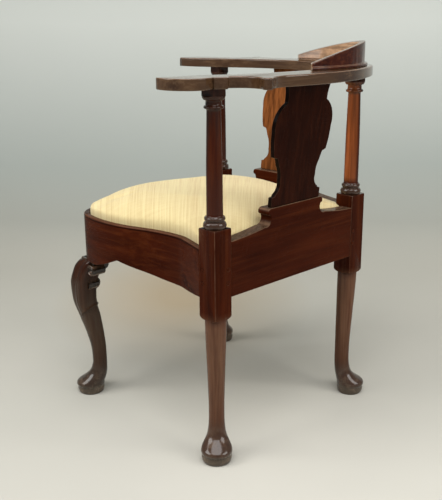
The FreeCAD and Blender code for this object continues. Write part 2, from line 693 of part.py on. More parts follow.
def sweep_heading(line, point):
    """Direction of the long arc at one of its points, going forward."""
    out = (point - line[0]).normalize()
    return V(out.y, -out.x, 0)


def arm_outline():
    """Plan of the right arm from the back joint round the lobes to the tip and back inside."""
    outer = arm_line(0.0)
    inner = arm_line(ARM_WIDTH)
    _, _, back, mid_back, join = outer
    _, _, inner_back, inner_mid, inner_join = inner
    leave = at_y(outer, ARM_LEAVE)
    sweep = midway(outer, join, leave)
    inner_start = at_y(inner, ARM_PAD_BACK + 15)
    inner_sweep = midway(inner, inner_start, inner_join)
    pad = POST_REACH + ABACUS_SIDE / DIAGONAL + 6
    tip = (ARM_TIP_REACH, -ARM_TIP_FRONT)
    lobe = [(ARM_LOBE_REACH - 5, ARM_LEAVE - 31), (ARM_LOBE_REACH - 4, ARM_LEAVE - 48)]
    lobe.append((POST_REACH + 7, ARM_PAD_BACK + 1))
    points = [(back.x, back.y), (mid_back.x, mid_back.y, join.x, join.y)]
    points += [(sweep.x, sweep.y, leave.x, leave.y)] + smooth_run(leave, sweep_heading(outer, leave), lobe)
    points += [(pad, ARM_PAD_BACK), (pad, 1.0), (pad - 4, 0.0)]
    points += smooth_run(V(pad - 4, 0, 0), V(1, -0.22, 0), [(ARM_BULGE_REACH, -ARM_BULGE_Y), tip])
    ahead = sweep_heading(inner, inner_start)
    straight = inner_start + ahead * 55
    points += [smooth_run(straight, ahead, [tip])[0][:2] + (straight.x, straight.y)]
    points += [(inner_start.x, inner_start.y), (inner_sweep.x, inner_sweep.y, inner_join.x, inner_join.y)]
    points += [(inner_mid.x, inner_mid.y, inner_back.x, inner_back.y)]
    return points


def screw_places():
    """Plan points of the two crest screws on the right, under the middle of the crest's foot."""
    line = crest_line(CREST_BASE_THICKNESS / 2)
    return [at_y(line, SCREW_BACK_Y), at_y(line, SCREW_FRONT_Y)]


def crest_screw(place, clearance=0.0):
    """Countersunk screw driven up through the arm into the crest."""
    low = ARM_UNDER + 1
    top = ARM_TOP + SCREW_INTO_CREST
    radius = SCREW_SHANK_RADIUS + clearance
    head = SCREW_HEAD_RADIUS + clearance
    points = [(0, low - clearance), (head, low - clearance), (head, low + 0.6), (radius, low + 3.2)]
    points += [(radius, top + clearance), (0, top + clearance)]
    screw = turned(points)
    screw.translate(place)
    if not clearance:
        slot = turn(box(-8, 8, -0.5, 0.5, low - 1, low + 1.1), 30)
        slot.translate(place)
        screw = screw.cut(slot)
    else:
        screw = screw.fuse(Part.makeCylinder(head, 3, V(place.x, place.y, low - 3)))
    return screw


def arm():
    body = plate(arm_outline(), ARM_UNDER, ARM_TOP)
    edges = []
    for edge in body.Edges:
        middle = edge.CenterOfMass
        at_post = middle.x > ARM_ROUND_LIMIT and abs(middle.y) < ARM_TIP_FRONT
        if edge.BoundBox.ZMin > ARM_TOP - 1 and middle.x > 1:
            if not at_post or middle.y > ARM_PAD_BACK + 10:
                edges.append(edge)
    body = body.makeFillet(ARM_EDGE_ROUND, edges)
    hole = Part.makeCylinder(COLUMN_TENON_RADIUS + CLEARANCE, COLUMN_TENON + 0.5, V(0, 0, ARM_UNDER))
    side = hole.copy()
    side.translate(V(POST_REACH, 0, 0))
    hole.translate(V(0, POST_REACH, 0))
    cuts = [hole, side, turn(splat_tenon(ARM_UNDER, 1, CLEARANCE), TURN_RIGHT_BACK)]
    cuts += [crest_screw(place, CLEARANCE) for place in screw_places()]
    return one(body.cut(cuts))


def crest_plan(inset, width, z):
    """Closed line round the right half of a band that follows the crest's back line."""
    outer = crest_line(inset)
    inner = crest_line(inset + width)
    _, _, back, mid_back, join = outer
    _, _, inner_back, inner_mid, inner_join = inner
    end = at_y(outer, CREST_CENTRE_Y + 60)
    inner_end = at_y(inner, CREST_CENTRE_Y + 60)
    sweep = midway(outer, join, end)
    inner_sweep = midway(inner, inner_join, inner_end)
    points = [(back.x, back.y), (mid_back.x, mid_back.y, join.x, join.y)]
    points += [(sweep.x, sweep.y, end.x, end.y), (inner_end.x, inner_end.y)]
    points += [(inner_sweep.x, inner_sweep.y, inner_join.x, inner_join.y)]
    points += [(inner_mid.x, inner_mid.y, inner_back.x, inner_back.y), (back.x, back.y)]
    wire = Part.Wire(edges_through(points, on_plan))
    wire.translate(V(0, 0, z))
    return wire


def crest_band(inset, low_width, z0, high_width, z1):
    """Band over both arms, of one width at its foot and another at its top."""
    half = Part.makeLoft([crest_plan(inset, low_width, z0), crest_plan(inset, high_width, z1)], True, True)
    return half.fuse(mirrored(half)).removeSplitter()


def crest():
    """Raised crest: low flange, upright back face, sloping inner face and a top sawn to a curve."""
    top = ARM_TOP + CREST_HEIGHT
    flange_top = ARM_TOP + CREST_FLANGE_HEIGHT
    flange_width = CREST_BASE_THICKNESS + CREST_FLANGE_PROUD
    flange = crest_band(-CREST_FLANGE_PROUD, flange_width, ARM_TOP, flange_width, flange_top)
    upper = crest_band(0.0, CREST_BASE_THICKNESS - 1, flange_top - 1, CREST_TOP_THICKNESS, top)
    body = flange.fuse(upper)
    middle = (CREST_END_Y + ARM_BACK) / 2
    middle_z = ARM_TOP + (CREST_HEIGHT + CREST_END_HEIGHT) / 2 + CREST_BOW
    limit = [(CREST_END_Y, ARM_TOP - 1), (CREST_END_Y, ARM_TOP + CREST_END_HEIGHT)]
    limit += [(middle, middle_z, ARM_BACK, top), (ARM_BACK, ARM_TOP - 1)]
    body = body.common(beam(limit, POST_REACH))
    holes = [crest_screw(place, CLEARANCE) for place in screw_places()]
    return one(body.cut(holes + [mirrored(hole) for hole in holes]).removeSplitter())


# Drop-in seat

def seat_steps(inset):
    """Closed plan of the drop-in seat, drawn in by inset from its cover's outer face."""
    front, along = front_line(RIM_WIDTH + SEAT_GAP + inset)
    back = BACK_INNER_FACE - SEAT_GAP - inset
    side_line = V(-back, 0, 0)
    start = meet(front[0], along, side_line, V(0, 1, 0))
    place = FreeCAD.Rotation(UP, TURN_RIGHT_FRONT)
    right = []
    for step in [start] + front[1:]:
        parts = step if isinstance(step, tuple) else (step,)
        right.append(tuple(place.multVec(p) for p in parts))
    outline = [right[0]] + right[1:]
    for index in range(len(right) - 1, 0, -1):
        step = right[index]
        end = right[index - 1][-1]
        middle = (V(-step[0].x, step[0].y, 0),) if len(step) == 2 else ()
        outline.append(middle + (V(-end.x, end.y, 0),))
    outline.append((V(0, back * DIAGONAL, 0),))
    return outline


def seat_points(inset, scale=1.0):
    """Closed plan of the seat as bare numbers, scaled about its middle."""
    out = []
    for step in seat_steps(inset):
        out.append(tuple(scale * value for p in step for value in (p.x, p.y)))
    return out + [out[0]]


def post_notches(clearance, z0, z1):
    """Room for the three post blocks at the seat's corners."""
    half = BLOCK_HALF + clearance
    notches = []
    for x, y in ((POST_REACH, 0), (-POST_REACH, 0), (0, POST_REACH)):
        notch = turn(box(-half, half, -half, half, z0, z1), 45)
        notch.translate(V(x, y, 0))
        notches.append(notch)
    return notches


def seat_form(inset, z0, drop):
    """Cushion form: upright sides, drawn-in shoulders and a crowned top."""
    side = plate(seat_points(inset), z0, SEAT_SIDE_TOP - drop)
    rise = SEAT_CROWN - SEAT_SIDE_TOP
    wires = []
    for scale, share in CROWN_RINGS:
        wire = Part.Wire(edges_through(seat_points(inset, scale), on_plan))
        wire.translate(V(0, 0, SEAT_SIDE_TOP - drop + rise * share))
        wires.append(wire)
    crown = Part.makeLoft(wires, True, True)
    return side.fuse(crown)


def seat_cover():
    """Woven cover over the cushion and down its sides, turned under the frame."""
    outer = seat_form(0.0, SEAT_LOW, 0.0).cut(post_notches(SEAT_GAP, 0, SEAT_CROWN + CUT_PAST))
    room = seat_form(COVER_THICKNESS, FRAME_LOW, COVER_THICKNESS)
    room = room.cut(post_notches(SEAT_GAP + COVER_THICKNESS, 0, SEAT_CROWN + CUT_PAST))
    open_half = SEAT_OPENING_HALF + COVER_LIP
    mouth = turn(box(-open_half, open_half, -open_half, open_half, SEAT_LOW - 1, FRAME_LOW + 1), 45)
    return one(outer.cut([room, mouth]))


def seat_pad():
    inset = COVER_THICKNESS + CLEARANCE
    body = seat_form(inset, FRAME_HIGH, inset)
    body = body.cut(post_notches(SEAT_GAP + inset, 0, SEAT_CROWN + CUT_PAST))
    half = WEB_SPAN + 1
    height = HESSIAN_LOW + HESSIAN_THICKNESS
    recess = turn(box(-half, half, -half, half, FRAME_HIGH - 1, height), 45)
    return one(body.cut(recess))


def seat_frame():
    """Four rails of the seat frame, mitred at the corners, by name."""
    inset = COVER_THICKNESS + CLEARANCE
    ring = plate(seat_points(inset), FRAME_LOW, FRAME_HIGH)
    half = SEAT_OPENING_HALF
    opening = turn(box(-half, half, -half, half, FRAME_LOW - 1, FRAME_HIGH + 1), 45)
    ring = ring.cut([opening] + post_notches(SEAT_GAP + inset, 0, SEAT_CROWN))
    reach = POST_REACH + 80
    quarters = {
        "front_right": box(0, reach, -reach, 0, 0, SEAT_CROWN),
        "front_left": box(-reach, 0, -reach, 0, 0, SEAT_CROWN),
        "back_right": box(0, reach, 0, reach, 0, SEAT_CROWN),
        "back_left": box(-reach, 0, 0, reach, 0, SEAT_CROWN),
    }
    return {"seat_frame_" + name: one(ring.common(part)) for name, part in quarters.items()}


def webbing():
    """Three straps each way, the second layer lying on the first."""
    straps = []
    for layer, degrees in ((0, 45), (1, -45)):
        low = FRAME_HIGH + layer * WEB_THICKNESS
        for row in (-1, 0, 1):
            middle = row * WEB_PITCH
            strap = box(-WEB_SPAN, WEB_SPAN, middle - WEB_WIDTH / 2, middle + WEB_WIDTH / 2,
                        low, low + WEB_THICKNESS)
            straps.append(turn(strap, degrees))
    return Part.makeCompound(straps)


def hessian():
    half = WEB_SPAN
    return turn(box(-half, half, -half, half, HESSIAN_LOW, HESSIAN_LOW + HESSIAN_THICKNESS), 45)


def glue_block(degrees):
    """Triangular block glued into a corner under the seat ledge."""
    apex = INNER_FACE * DIAGONAL
    leg = GLUE_BLOCK_LEG / DIAGONAL
    tip = 3.0
    points = [(apex - tip, tip), (apex - leg, leg), (apex - leg, -leg), (apex - tip, -tip)]
    return turn(plate(points, LEDGE_TOP - GLUE_BLOCK_HEIGHT, LEDGE_TOP), degrees)


def all_pegs():
    """Every tenon peg, cut off flush with the outer faces."""
    right = [turn(peg, TURN_RIGHT_FRONT) for peg in pegs(-1, TENON_LENGTH, OUTER_FACE)]
    for sign in (-1, 1):
        right += [turn(peg, TURN_RIGHT_BACK) for peg in pegs(sign, TENON_LENGTH, OUTER_FACE)]
    skin = turn(plate(front_plan(0.0, INNER_FACE - 20), TENON_LOW - 20, TENON_HIGH + 10), TURN_RIGHT_FRONT)
    for peg in pegs(1, FRONT_TENON_LENGTH, OUTER_FACE):
        right.append(one(turn(peg, TURN_RIGHT_FRONT).common(skin)))
    return Part.makeCompound(right + [mirrored(peg) for peg in right])


def all_screws():
    right = [crest_screw(place) for place in screw_places()]
    return Part.makeCompound(right + [mirrored(screw) for screw in right])


def build():
    """Every node by name, with the middle of the plan at the origin."""
    nodes = {}
    nodes["front_leg"] = front_leg()
    nodes["back_post"] = back_post()
    pairs = {
        "side_post": side_post(),
        "front_rail": turn(front_rail(), TURN_RIGHT_FRONT),
        "back_rail": turn(back_rail(), TURN_RIGHT_BACK),
        "splat": turn(splat(), TURN_RIGHT_BACK),
        "arm": arm(),
    }
    for name, shape in pairs.items():
        nodes[name + "_right"] = shape
        nodes[name + "_left"] = mirrored(shape)
    nodes["front_knee_bracket_right"], nodes["front_knee_bracket_left"] = brackets()
    nodes["crest"] = crest()
    corners = {"right": 0, "back": 90, "left": 180, "front": 270}
    for name, degrees in corners.items():
        nodes["corner_block_" + name] = glue_block(degrees)
    nodes["tenon_pegs"] = all_pegs()
    nodes["crest_screws"] = all_screws()
    nodes.update(seat_frame())
    nodes["seat_webbing"] = webbing()
    nodes["seat_hessian"] = hessian()
    nodes["seat_pad"] = seat_pad()
    nodes["seat_cover"] = seat_cover()
    return nodes


# The origin goes to the floor in the middle of the whole chair, front to back.
to_origin = V(0, (FRONT_PAD_EDGE - BACK_PAD_EDGE) / 2, 0)
os.makedirs("parts", exist_ok=True)
for name, shape in build().items():
    shape = shape.copy()
    shape.translate(to_origin)
    shape.exportStep("parts/%s.step" % name)
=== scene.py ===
import bpy
import bmesh
import math
import numpy as np
from mathutils import Matrix, Vector


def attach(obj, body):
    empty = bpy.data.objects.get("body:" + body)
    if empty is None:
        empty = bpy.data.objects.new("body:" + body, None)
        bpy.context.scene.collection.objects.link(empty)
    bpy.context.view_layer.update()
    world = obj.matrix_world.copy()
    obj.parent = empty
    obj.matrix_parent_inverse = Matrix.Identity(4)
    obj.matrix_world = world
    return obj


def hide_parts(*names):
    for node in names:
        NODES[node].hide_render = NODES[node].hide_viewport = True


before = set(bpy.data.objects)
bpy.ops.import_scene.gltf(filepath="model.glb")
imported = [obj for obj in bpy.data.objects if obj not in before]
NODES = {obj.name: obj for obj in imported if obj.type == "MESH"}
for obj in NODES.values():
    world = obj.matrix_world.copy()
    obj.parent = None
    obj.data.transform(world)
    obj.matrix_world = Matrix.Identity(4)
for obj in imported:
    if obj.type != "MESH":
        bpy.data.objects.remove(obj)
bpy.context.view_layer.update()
FRAME_BODY = "chair_frame"
SEAT_BODY = "drop_in_seat"
SHIFT = -0.0003             # the middle of the square through the posts
SQUARE = math.sqrt(0.5)
SAME_PLACE = 2e-6
SAME_PLANE = math.radians(0.8)

# Seat and frame sizes in metres, as in the solids
POST_REACH = 0.280          # from the middle of the seat to the axes of the posts
POST_LEG_TOP = 0.2855       # where the turned legs meet their blocks
FRONT_LEG_TOP = 0.3185
BLOCK_FOOT = 0.28           # above these heights the arrises are rounded more
BRACKET_TOP = 0.318
KNEE_BLOCK_FOOT = 0.32
KNEE_BLOCK_TOP = 0.415
RAIL_TOP = 0.419
PEG_GROWTH = 0.0003
COVER_FOOT = 0.4053
SIDE_TOP = 0.432
MOUTH_HALF = 0.160          # half side of the opening below the cushion
CROWN_RISE = 0.0385
CROWN_ROUND = 2.4


# Small helpers

def link(obj):
    bpy.context.scene.collection.objects.link(obj)
    return obj


def mesh_object(name, vertices, faces):
    mesh = bpy.data.meshes.new(name)
    mesh.from_pydata([tuple(v) for v in vertices], [], [tuple(f) for f in faces])
    mesh.update()
    return link(bpy.data.objects.new(name, mesh))


def merged(node):
    """A CAD node as an editable mesh with its doubles merged."""
    bm = bmesh.new()
    bm.from_mesh(NODES[node].data)
    bmesh.ops.remove_doubles(bm, verts=bm.verts, dist=SAME_PLACE)
    return bm


def flattened(node):
    """The same with its flat faces joined."""
    bm = merged(node)
    bmesh.ops.dissolve_limit(bm, angle_limit=SAME_PLANE, verts=bm.verts, edges=bm.edges)
    return bm


def mark_arrises(bm, width, degrees, share):
    """Bevel weights for the sharp edges whose faces are wide enough to take a rounding."""
    bm.normal_update()
    layer = bm.edges.layers.float.new("bevel_weight_edge")
    limit = math.radians(degrees)
    for edge in bm.edges:
        if len(edge.link_faces) != 2:
            continue
        length = edge.calc_length()
        if length < 1e-6 or edge.calc_face_angle(0.0) < limit:
            continue
        room = min(face.calc_area() for face in edge.link_faces) / length
        middle = (edge.verts[0].co + edge.verts[1].co) / 2
        wanted = share(middle)
        if room > 2.0 * width * wanted:
            edge[layer] = wanted


def by_height(*steps, below=0.0):
    """Share of an arris's full width: rows of (above which height, share) from the top down."""
    return lambda middle: next((share for height, share in steps if middle.z > height), below)


def dressed(bm, node, name, material, slot, width, segments=2, smooth=38, share=by_height(below=1.0)):
    """A visible piece from an edited copy of a CAD node, with its arrises rounded over."""
    if width:
        mark_arrises(bm, width, smooth, share)
    mesh = bpy.data.meshes.new(name)
    bm.to_mesh(mesh)
    bm.free()
    obj = link(bpy.data.objects.new(name, mesh))
    smooth_by_angle(obj, smooth)
    if width:
        bevel = obj.modifiers.new("Arris", "BEVEL")
        bevel.width = width
        bevel.segments = segments
        bevel.limit_method = "WEIGHT"
        bevel.harden_normals = True
        bevel.use_clamp_overlap = False
    obj.data.materials.append(material)
    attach(obj, SEAT_BODY if node.startswith("seat_") else FRAME_BODY)
    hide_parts(node)
    return obj


def smooth_by_angle(obj, degrees):
    obj.data.shade_smooth()
    obj.data.set_sharp_from_angle(angle=math.radians(degrees))


def rounded_copy(node, material, slot, width, segments=2, name=None, **more):
    """A visible copy of a CAD node with its arrises rounded over."""
    return dressed(flattened(node), node, name or node.capitalize(), material, slot, width, segments, **more)


# Shader building blocks

class Wiring:
    """Short names for adding and joining nodes in one tree."""

    def __init__(self, tree):
        self.tree = tree

    def add(self, kind, **values):
        node = self.tree.nodes.new("ShaderNode" + kind)
        for key, value in values.items():
            setattr(node, key, value)
        return node

    def join(self, source, target):
        self.tree.links.new(source, target)

    def put(self, target, value):
        """Joins a socket or stores a plain value."""
        if isinstance(value, bpy.types.NodeSocket):
            self.join(value, target)
        else:
            target.default_value = value

    def math(self, operation, a, b=0.0, clamp=False):
        node = self.add("Math", operation=operation, use_clamp=clamp)
        self.put(node.inputs[0], a)
        self.put(node.inputs[1], b)
        return node.outputs[0]

    def times(self, first, *others):
        for other in others:
            first = self.math("MULTIPLY", first, other)
        return first

    def total(self, first, *others):
        for other in others:
            first = self.math("ADD", first, other)
        return first

    def less(self, a, b):
        return self.math("SUBTRACT", a, b)

    def apart(self, a, b):
        return self.math("ABSOLUTE", self.less(a, b))

    def greatest(self, first, *others):
        for other in others:
            first = self.math("MAXIMUM", first, other)
        return first

    def ramp(self, value, low, high, low_out=0.0, high_out=1.0):
        node = self.add("MapRange", clamp=True)
        self.put(node.inputs["Value"], value)
        self.put(node.inputs["From Min"], low)
        self.put(node.inputs["From Max"], high)
        self.put(node.inputs["To Min"], low_out)
        self.put(node.inputs["To Max"], high_out)
        return node.outputs["Result"]

    def mix(self, share, a, b):
        node = self.add("Mix", data_type="RGBA")
        self.put(node.inputs["Factor"], share)
        self.put(node.inputs[6], a)
        self.put(node.inputs[7], b)
        return node.outputs[2]

    def split(self, vector):
        node = self.add("SeparateXYZ")
        self.join(vector, node.inputs[0])
        return node.outputs

    def product(self, vector, other):
        """The vector's parts multiplied by those of another."""
        node = self.add("VectorMath", operation="MULTIPLY")
        self.join(vector, node.inputs[0])
        self.join(other, node.inputs[1])
        return node.outputs["Vector"]

    def dot(self, vector, other):
        node = self.add("VectorMath", operation="DOT_PRODUCT")
        self.join(vector, node.inputs[0])
        self.join(other, node.inputs[1])
        return node.outputs["Value"]

    def brightened(self, color, factor):
        node = self.add("VectorMath", operation="SCALE")
        self.join(color, node.inputs[0])
        self.join(factor, node.inputs["Scale"])
        return node.outputs["Vector"]

    def scaled(self, vector, scale, rotation=(0, 0, 0), location=(0, 0, 0)):
        node = self.add("Mapping")
        self.join(vector, node.inputs["Vector"])
        node.inputs["Scale"].default_value = scale
        node.inputs["Rotation"].default_value = rotation
        node.inputs["Location"].default_value = location
        return node.outputs["Vector"]

    def noise(self, vector, scale, detail=4.0, rough=0.55, distort=0.0):
        node = self.add("TexNoise")
        self.join(vector, node.inputs["Vector"])
        self.put(node.inputs["Scale"], scale)
        self.put(node.inputs["Detail"], detail)
        self.put(node.inputs["Roughness"], rough)
        self.put(node.inputs["Distortion"], distort)
        return node.outputs["Fac"]


def group_of(name, inputs, outputs):
    """A shader group with named sockets; returns its tree, wiring, input and output nodes."""
    tree = bpy.data.node_groups.new(name, "ShaderNodeTree")
    kinds = {"v": "NodeSocketVector", "f": "NodeSocketFloat", "c": "NodeSocketColor"}
    for label, kind, value in inputs:
        socket = tree.interface.new_socket(label, in_out="INPUT", socket_type=kinds[kind])
        if value is not None:
            socket.default_value = value
    for label, kind in outputs:
        tree.interface.new_socket(label, in_out="OUTPUT", socket_type=kinds[kind])
    wiring = Wiring(tree)
    entry = tree.nodes.new("NodeGroupInput")
    leave = tree.nodes.new("NodeGroupOutput")
    return tree, wiring, entry.outputs, leave.inputs


def grain_group():
    """Figured wood with its grain along X: tone, gloss and pore height."""
    tree, w, inn, out = group_of(
        "Wood_grain",
        [("Vector", "v", None), ("Dark", "c", (0.02, 0.005, 0.003, 1)),
         ("Mid", "c", (0.06, 0.015, 0.008, 1)), ("Light", "c", (0.14, 0.045, 0.02, 1)),
         ("Figure", "f", 0.5), ("Gloss", "f", 0.2), ("Pores", "f", 1.0)],
        [("Color", "c"), ("Roughness", "f"), ("Height", "f")])
    vector = inn["Vector"]
    bands = w.noise(w.scaled(vector, (1.1, 9.0, 9.0)), 2.6, 3.0, 0.5, 0.8)
    streaks = w.noise(w.scaled(vector, (2.2, 60.0, 60.0)), 2.0, 5.0, 0.62, 0.35)
    fibres = w.noise(w.scaled(vector, (9.0, 420.0, 420.0)), 2.0, 3.0, 0.6, 0.1)
    cloud = w.noise(vector, 7.0, 3.0, 0.5, 0.4)
    body = w.mix(w.ramp(bands, 0.30, 0.70), inn["Dark"], inn["Mid"])
    body = w.mix(w.times(w.ramp(streaks, 0.46, 0.74), inn["Figure"]), body, inn["Light"])
    body = w.mix(w.ramp(cloud, 0.35, 0.75, 0.0, 0.45), body, inn["Dark"])
    pore = w.ramp(fibres, 0.30, 0.46, 1.0, 0.0)
    w.join(w.mix(w.times(pore, 0.35), body, inn["Dark"]), out["Color"])
    smudge = w.noise(vector, 16.0, 5.0, 0.6, 0.6)
    gloss = w.total(inn["Gloss"], w.ramp(smudge, 0.35, 0.75, -0.05, 0.14))
    w.join(w.math("ADD", gloss, w.times(pore, 0.12), clamp=True), out["Roughness"])
    ripple = w.noise(vector, 9.0, 2.0, 0.5, 0.2)
    w.join(w.total(w.times(pore, -1.0, inn["Pores"]), w.times(ripple, 1.6)), out["Height"])
    return tree


# Colours of age on the wood, some also used as painted shade and a painted highlight, and heights of the
# columns' ring mouldings in metres
SCUFFED = (0.22, 0.15, 0.10, 1)
RUBBED = (0.27, 0.155, 0.095, 1)
FOOT_BROWN = (0.034, 0.022, 0.014, 1)
SOLE_GREY = (0.080, 0.062, 0.042, 1)
RING_BROWN = (0.042, 0.024, 0.014, 1)
QUIRK_DIRT = (0.006, 0.0015, 0.0006, 1)
EDGE_DIRT = (0.006, 0.0035, 0.0025, 1)
FOOT_RINGS = 0.4695
NECK_RINGS = 0.6840


def wear_group():
    """Age and painted light on polished wood: faces toward the light painted lighter, dull legs with a
    painted floor reflection, dark feet, rubbed arrises, a rail's quirk in painted shade under a painted
    highlight, and dark rings, the neck rings in painted shade under the arms.
    """
    tree, w, inn, out = group_of(
        "Old_wear",
        [("Vector", "v", None), ("Normal", "v", None), ("Base", "c", (0.1, 0.1, 0.1, 1)),
         ("Gloss", "f", 0.2), ("Shine", "f", 0.0), ("Plain_low", "f", 0.0), ("Plain_high", "f", 0.0),
         ("Fade", "f", 0.0), ("Faded", "c", (0.19, 0.062, 0.019, 1)), ("Faces", "v", (0, -1, 0)),
         ("Fade_above", "f", 0.46), ("Fade_below", "f", 9.0), ("Streaks", "v", (150, 150, 5)),
         ("Dull", "c", (0.158, 0.077, 0.041, 1)), ("Dull_below", "f", 0.30), ("Dull_blend", "f", 0.03),
         ("Edge_of", "v", (0, 0, 1)), ("Rubbed", "f", 0.6), ("Rubbed_above", "f", 0.0),
         ("Rubbed_below", "f", 9.0), ("Sides", "f", 0.0), ("Lip", "f", -1.0), ("Rings", "f", 0.0)],
        [("Color", "c"), ("Roughness", "f"), ("Polish", "f"), ("Groove", "f")])
    place = inn["Vector"]
    height = w.split(place)["Z"]

    # Painted light on the faces that look one way: lighter and more orange, as lit and faded polish, streaky
    # and strongest where the grain is light
    streaky = w.noise(w.product(place, inn["Streaks"]), 1.0, 3.0, 0.55, 0.2)
    patch = w.ramp(w.noise(place, 8.0, 4.0, 0.6, 0.3), 0.25, 0.65, 0.76, 1.0)
    zone = w.times(w.ramp(w.less(height, inn["Fade_above"]), 0.0, 0.012),
                   w.ramp(w.less(inn["Fade_below"], height), 0.0, 0.006))
    share = w.times(w.ramp(w.dot(inn["Normal"], inn["Faces"]), 0.1, 0.8), zone, patch, inn["Fade"])
    parts = w.add("SeparateColor")
    w.join(inn["Base"], parts.inputs[0])
    bright = w.times(w.ramp(parts.outputs["Red"], 0.011, 0.060, 0.62, 1.15),
                     w.ramp(streaky, 0.36, 0.62, 0.50, 1.10))
    color = w.mix(share, inn["Base"], w.brightened(inn["Faded"], bright))

    # Dull legs, painted lighter brown as a dull finish and a painted floor reflection, dark feet and greyish
    # soles with scuffs
    under = w.ramp(w.less(inn["Dull_below"], height), 0.0, inn["Dull_blend"])
    streak = w.ramp(streaky, 0.3, 0.7, 0.35, 0.9)
    ankle = w.ramp(height, 0.03, 0.16, 0.40, 1.0)
    color = w.mix(w.times(under, streak, ankle), color, inn["Dull"])
    foot = w.ramp(height, 0.050, 0.085, 1.0, 0.0)
    color = w.mix(w.times(foot, 0.65), color, FOOT_BROWN)
    sole = w.ramp(height, 0.0185, 0.0225, 1.0, 0.0)
    color = w.mix(w.times(sole, 0.6), color, SOLE_GREY)
    marks = w.ramp(w.noise(place, 55.0, 6.0, 0.7, 0.5), 0.50, 0.68)
    scuffed = w.times(w.ramp(height, 0.0, 0.075, 1.0, 0.0), marks, 0.55)
    color = w.mix(scuffed, color, SCUFFED)

    # An arris is where the normal lies between the chosen direction and the plane across it
    toward = w.math("ABSOLUTE", w.dot(inn["Normal"], inn["Edge_of"]))
    across = w.math("SQRT", w.greatest(w.less(1.0, w.times(toward, toward)), 0.0))
    edge = w.ramp(w.less(1.0, w.greatest(toward, across)), 0.07, 0.24)
    worn = w.ramp(w.noise(place, 34.0, 4.0, 0.65, 0.3), 0.34, 0.60, 0.25, 1.0)
    zone = w.times(w.ramp(w.less(height, inn["Rubbed_above"]), 0.0, 0.002),
                   w.ramp(w.less(inn["Rubbed_below"], height), -0.001, 0.001))
    color = w.mix(w.times(edge, worn, zone, inn["Rubbed"]), color, RUBBED)
    # Side faces across the chosen direction are painted near black
    color = w.mix(w.times(w.ramp(toward, 0.55, 0.20), inn["Sides"]), color, EDGE_DIRT)

    # Quirk below the lip of a rail, darkened as painted shade, with a lighter line over it as a painted
    # highlight, and dark shiny rings on the columns
    groove = w.ramp(w.apart(height, inn["Lip"]), 0.0006, 0.0017, 1.0, 0.0)
    lip_line = w.apart(w.total(inn["Lip"], 0.0036), height)
    color = w.mix(w.ramp(lip_line, 0.0012, 0.0026, 0.10, 0.0), color, RUBBED)
    at_foot = w.ramp(w.apart(height, FOOT_RINGS), 0.0110, 0.0125, 1.0, 0.0)
    # The neck rings are darkened as painted shade under the arms
    at_neck = w.ramp(w.apart(height, NECK_RINGS), 0.0180, 0.0210, 0.55, 0.0)
    rings = w.times(w.greatest(at_foot, at_neck), inn["Rings"])
    color = w.mix(w.times(rings, 0.70), color, RING_BROWN)
    w.join(w.mix(w.times(groove, 0.8), color, QUIRK_DIRT), out["Color"])
    w.join(groove, out["Groove"])

    # Flat faces are plain; rings and feet keep their polish
    w.join(w.math("ADD", inn["Gloss"], w.times(scuffed, 0.35), clamp=True), out["Roughness"])
    plain = w.times(w.ramp(w.less(height, inn["Plain_low"]), -0.004, 0.004),
                    w.ramp(w.less(inn["Plain_high"], height), -0.004, 0.004))
    polish = w.greatest(w.times(inn["Shine"], w.less(1.0, plain)),
                        w.times(rings, 0.8), w.times(foot, 0.9))
    w.join(w.times(polish, w.less(1.0, w.times(scuffed, 0.7))), out["Polish"])
    return tree


GRAIN = grain_group()
WEAR = wear_group()


def start_material(name):
    material = bpy.data.materials.new(name)
    material.use_nodes = True
    material.node_tree.nodes.clear()
    w = Wiring(material.node_tree)
    shader = w.add("BsdfPrincipled")
    output = w.add("OutputMaterial")
    w.join(shader.outputs[0], output.inputs["Surface"])
    coords = w.add("TexCoord")
    return material, w, shader, coords


def placed_group(w, tree, **values):
    node = w.add("Group", node_tree=tree)
    for label, value in values.items():
        w.put(node.inputs[label], value)
    return node


def about(axis, degrees):
    """A turn about one axis, as three angles."""
    return [math.radians(degrees) if letter == axis else 0.0 for letter in "XYZ"]


def roughen(w, shader, height, strength, distance):
    bump = w.add("Bump")
    bump.inputs["Strength"].default_value = strength
    bump.inputs["Distance"].default_value = distance
    w.join(height, bump.inputs["Height"])
    w.join(bump.outputs["Normal"], shader.inputs["Normal"])


# Dark, middle and light tones of the grain
RED = ((0.021, 0.0030, 0.0009, 1), (0.058, 0.0098, 0.0024, 1), (0.112, 0.027, 0.007, 1))
DEEP = ((0.011, 0.0020, 0.0008, 1), (0.026, 0.0050, 0.0018, 1), (0.052, 0.012, 0.004, 1))
KNEE = ((0.012, 0.0030, 0.0012, 1), (0.032, 0.0088, 0.0030, 1), (0.066, 0.021, 0.0075, 1))
# Dark olive tones for the brackets
SOOTED = ((0.010, 0.0050, 0.0025, 1), (0.026, 0.0150, 0.0085, 1), (0.052, 0.030, 0.018, 1))
HANDLED = ((0.034, 0.0150, 0.0065, 1), (0.098, 0.050, 0.022, 1), (0.185, 0.110, 0.058, 1))
PINE = ((0.20, 0.10, 0.04, 1), (0.34, 0.19, 0.085, 1), (0.46, 0.29, 0.14, 1))


def grained(w, coords, turn, offset, tones, **values):
    """Grain group in a material; turn is (axis, degrees) that brings the grain onto X."""
    along = w.scaled(coords.outputs["Object"], (1, 1, 1), about(*turn), offset)
    return placed_group(w, GRAIN, Vector=along, Dark=tones[0], Mid=tones[1], Light=tones[2], **values)


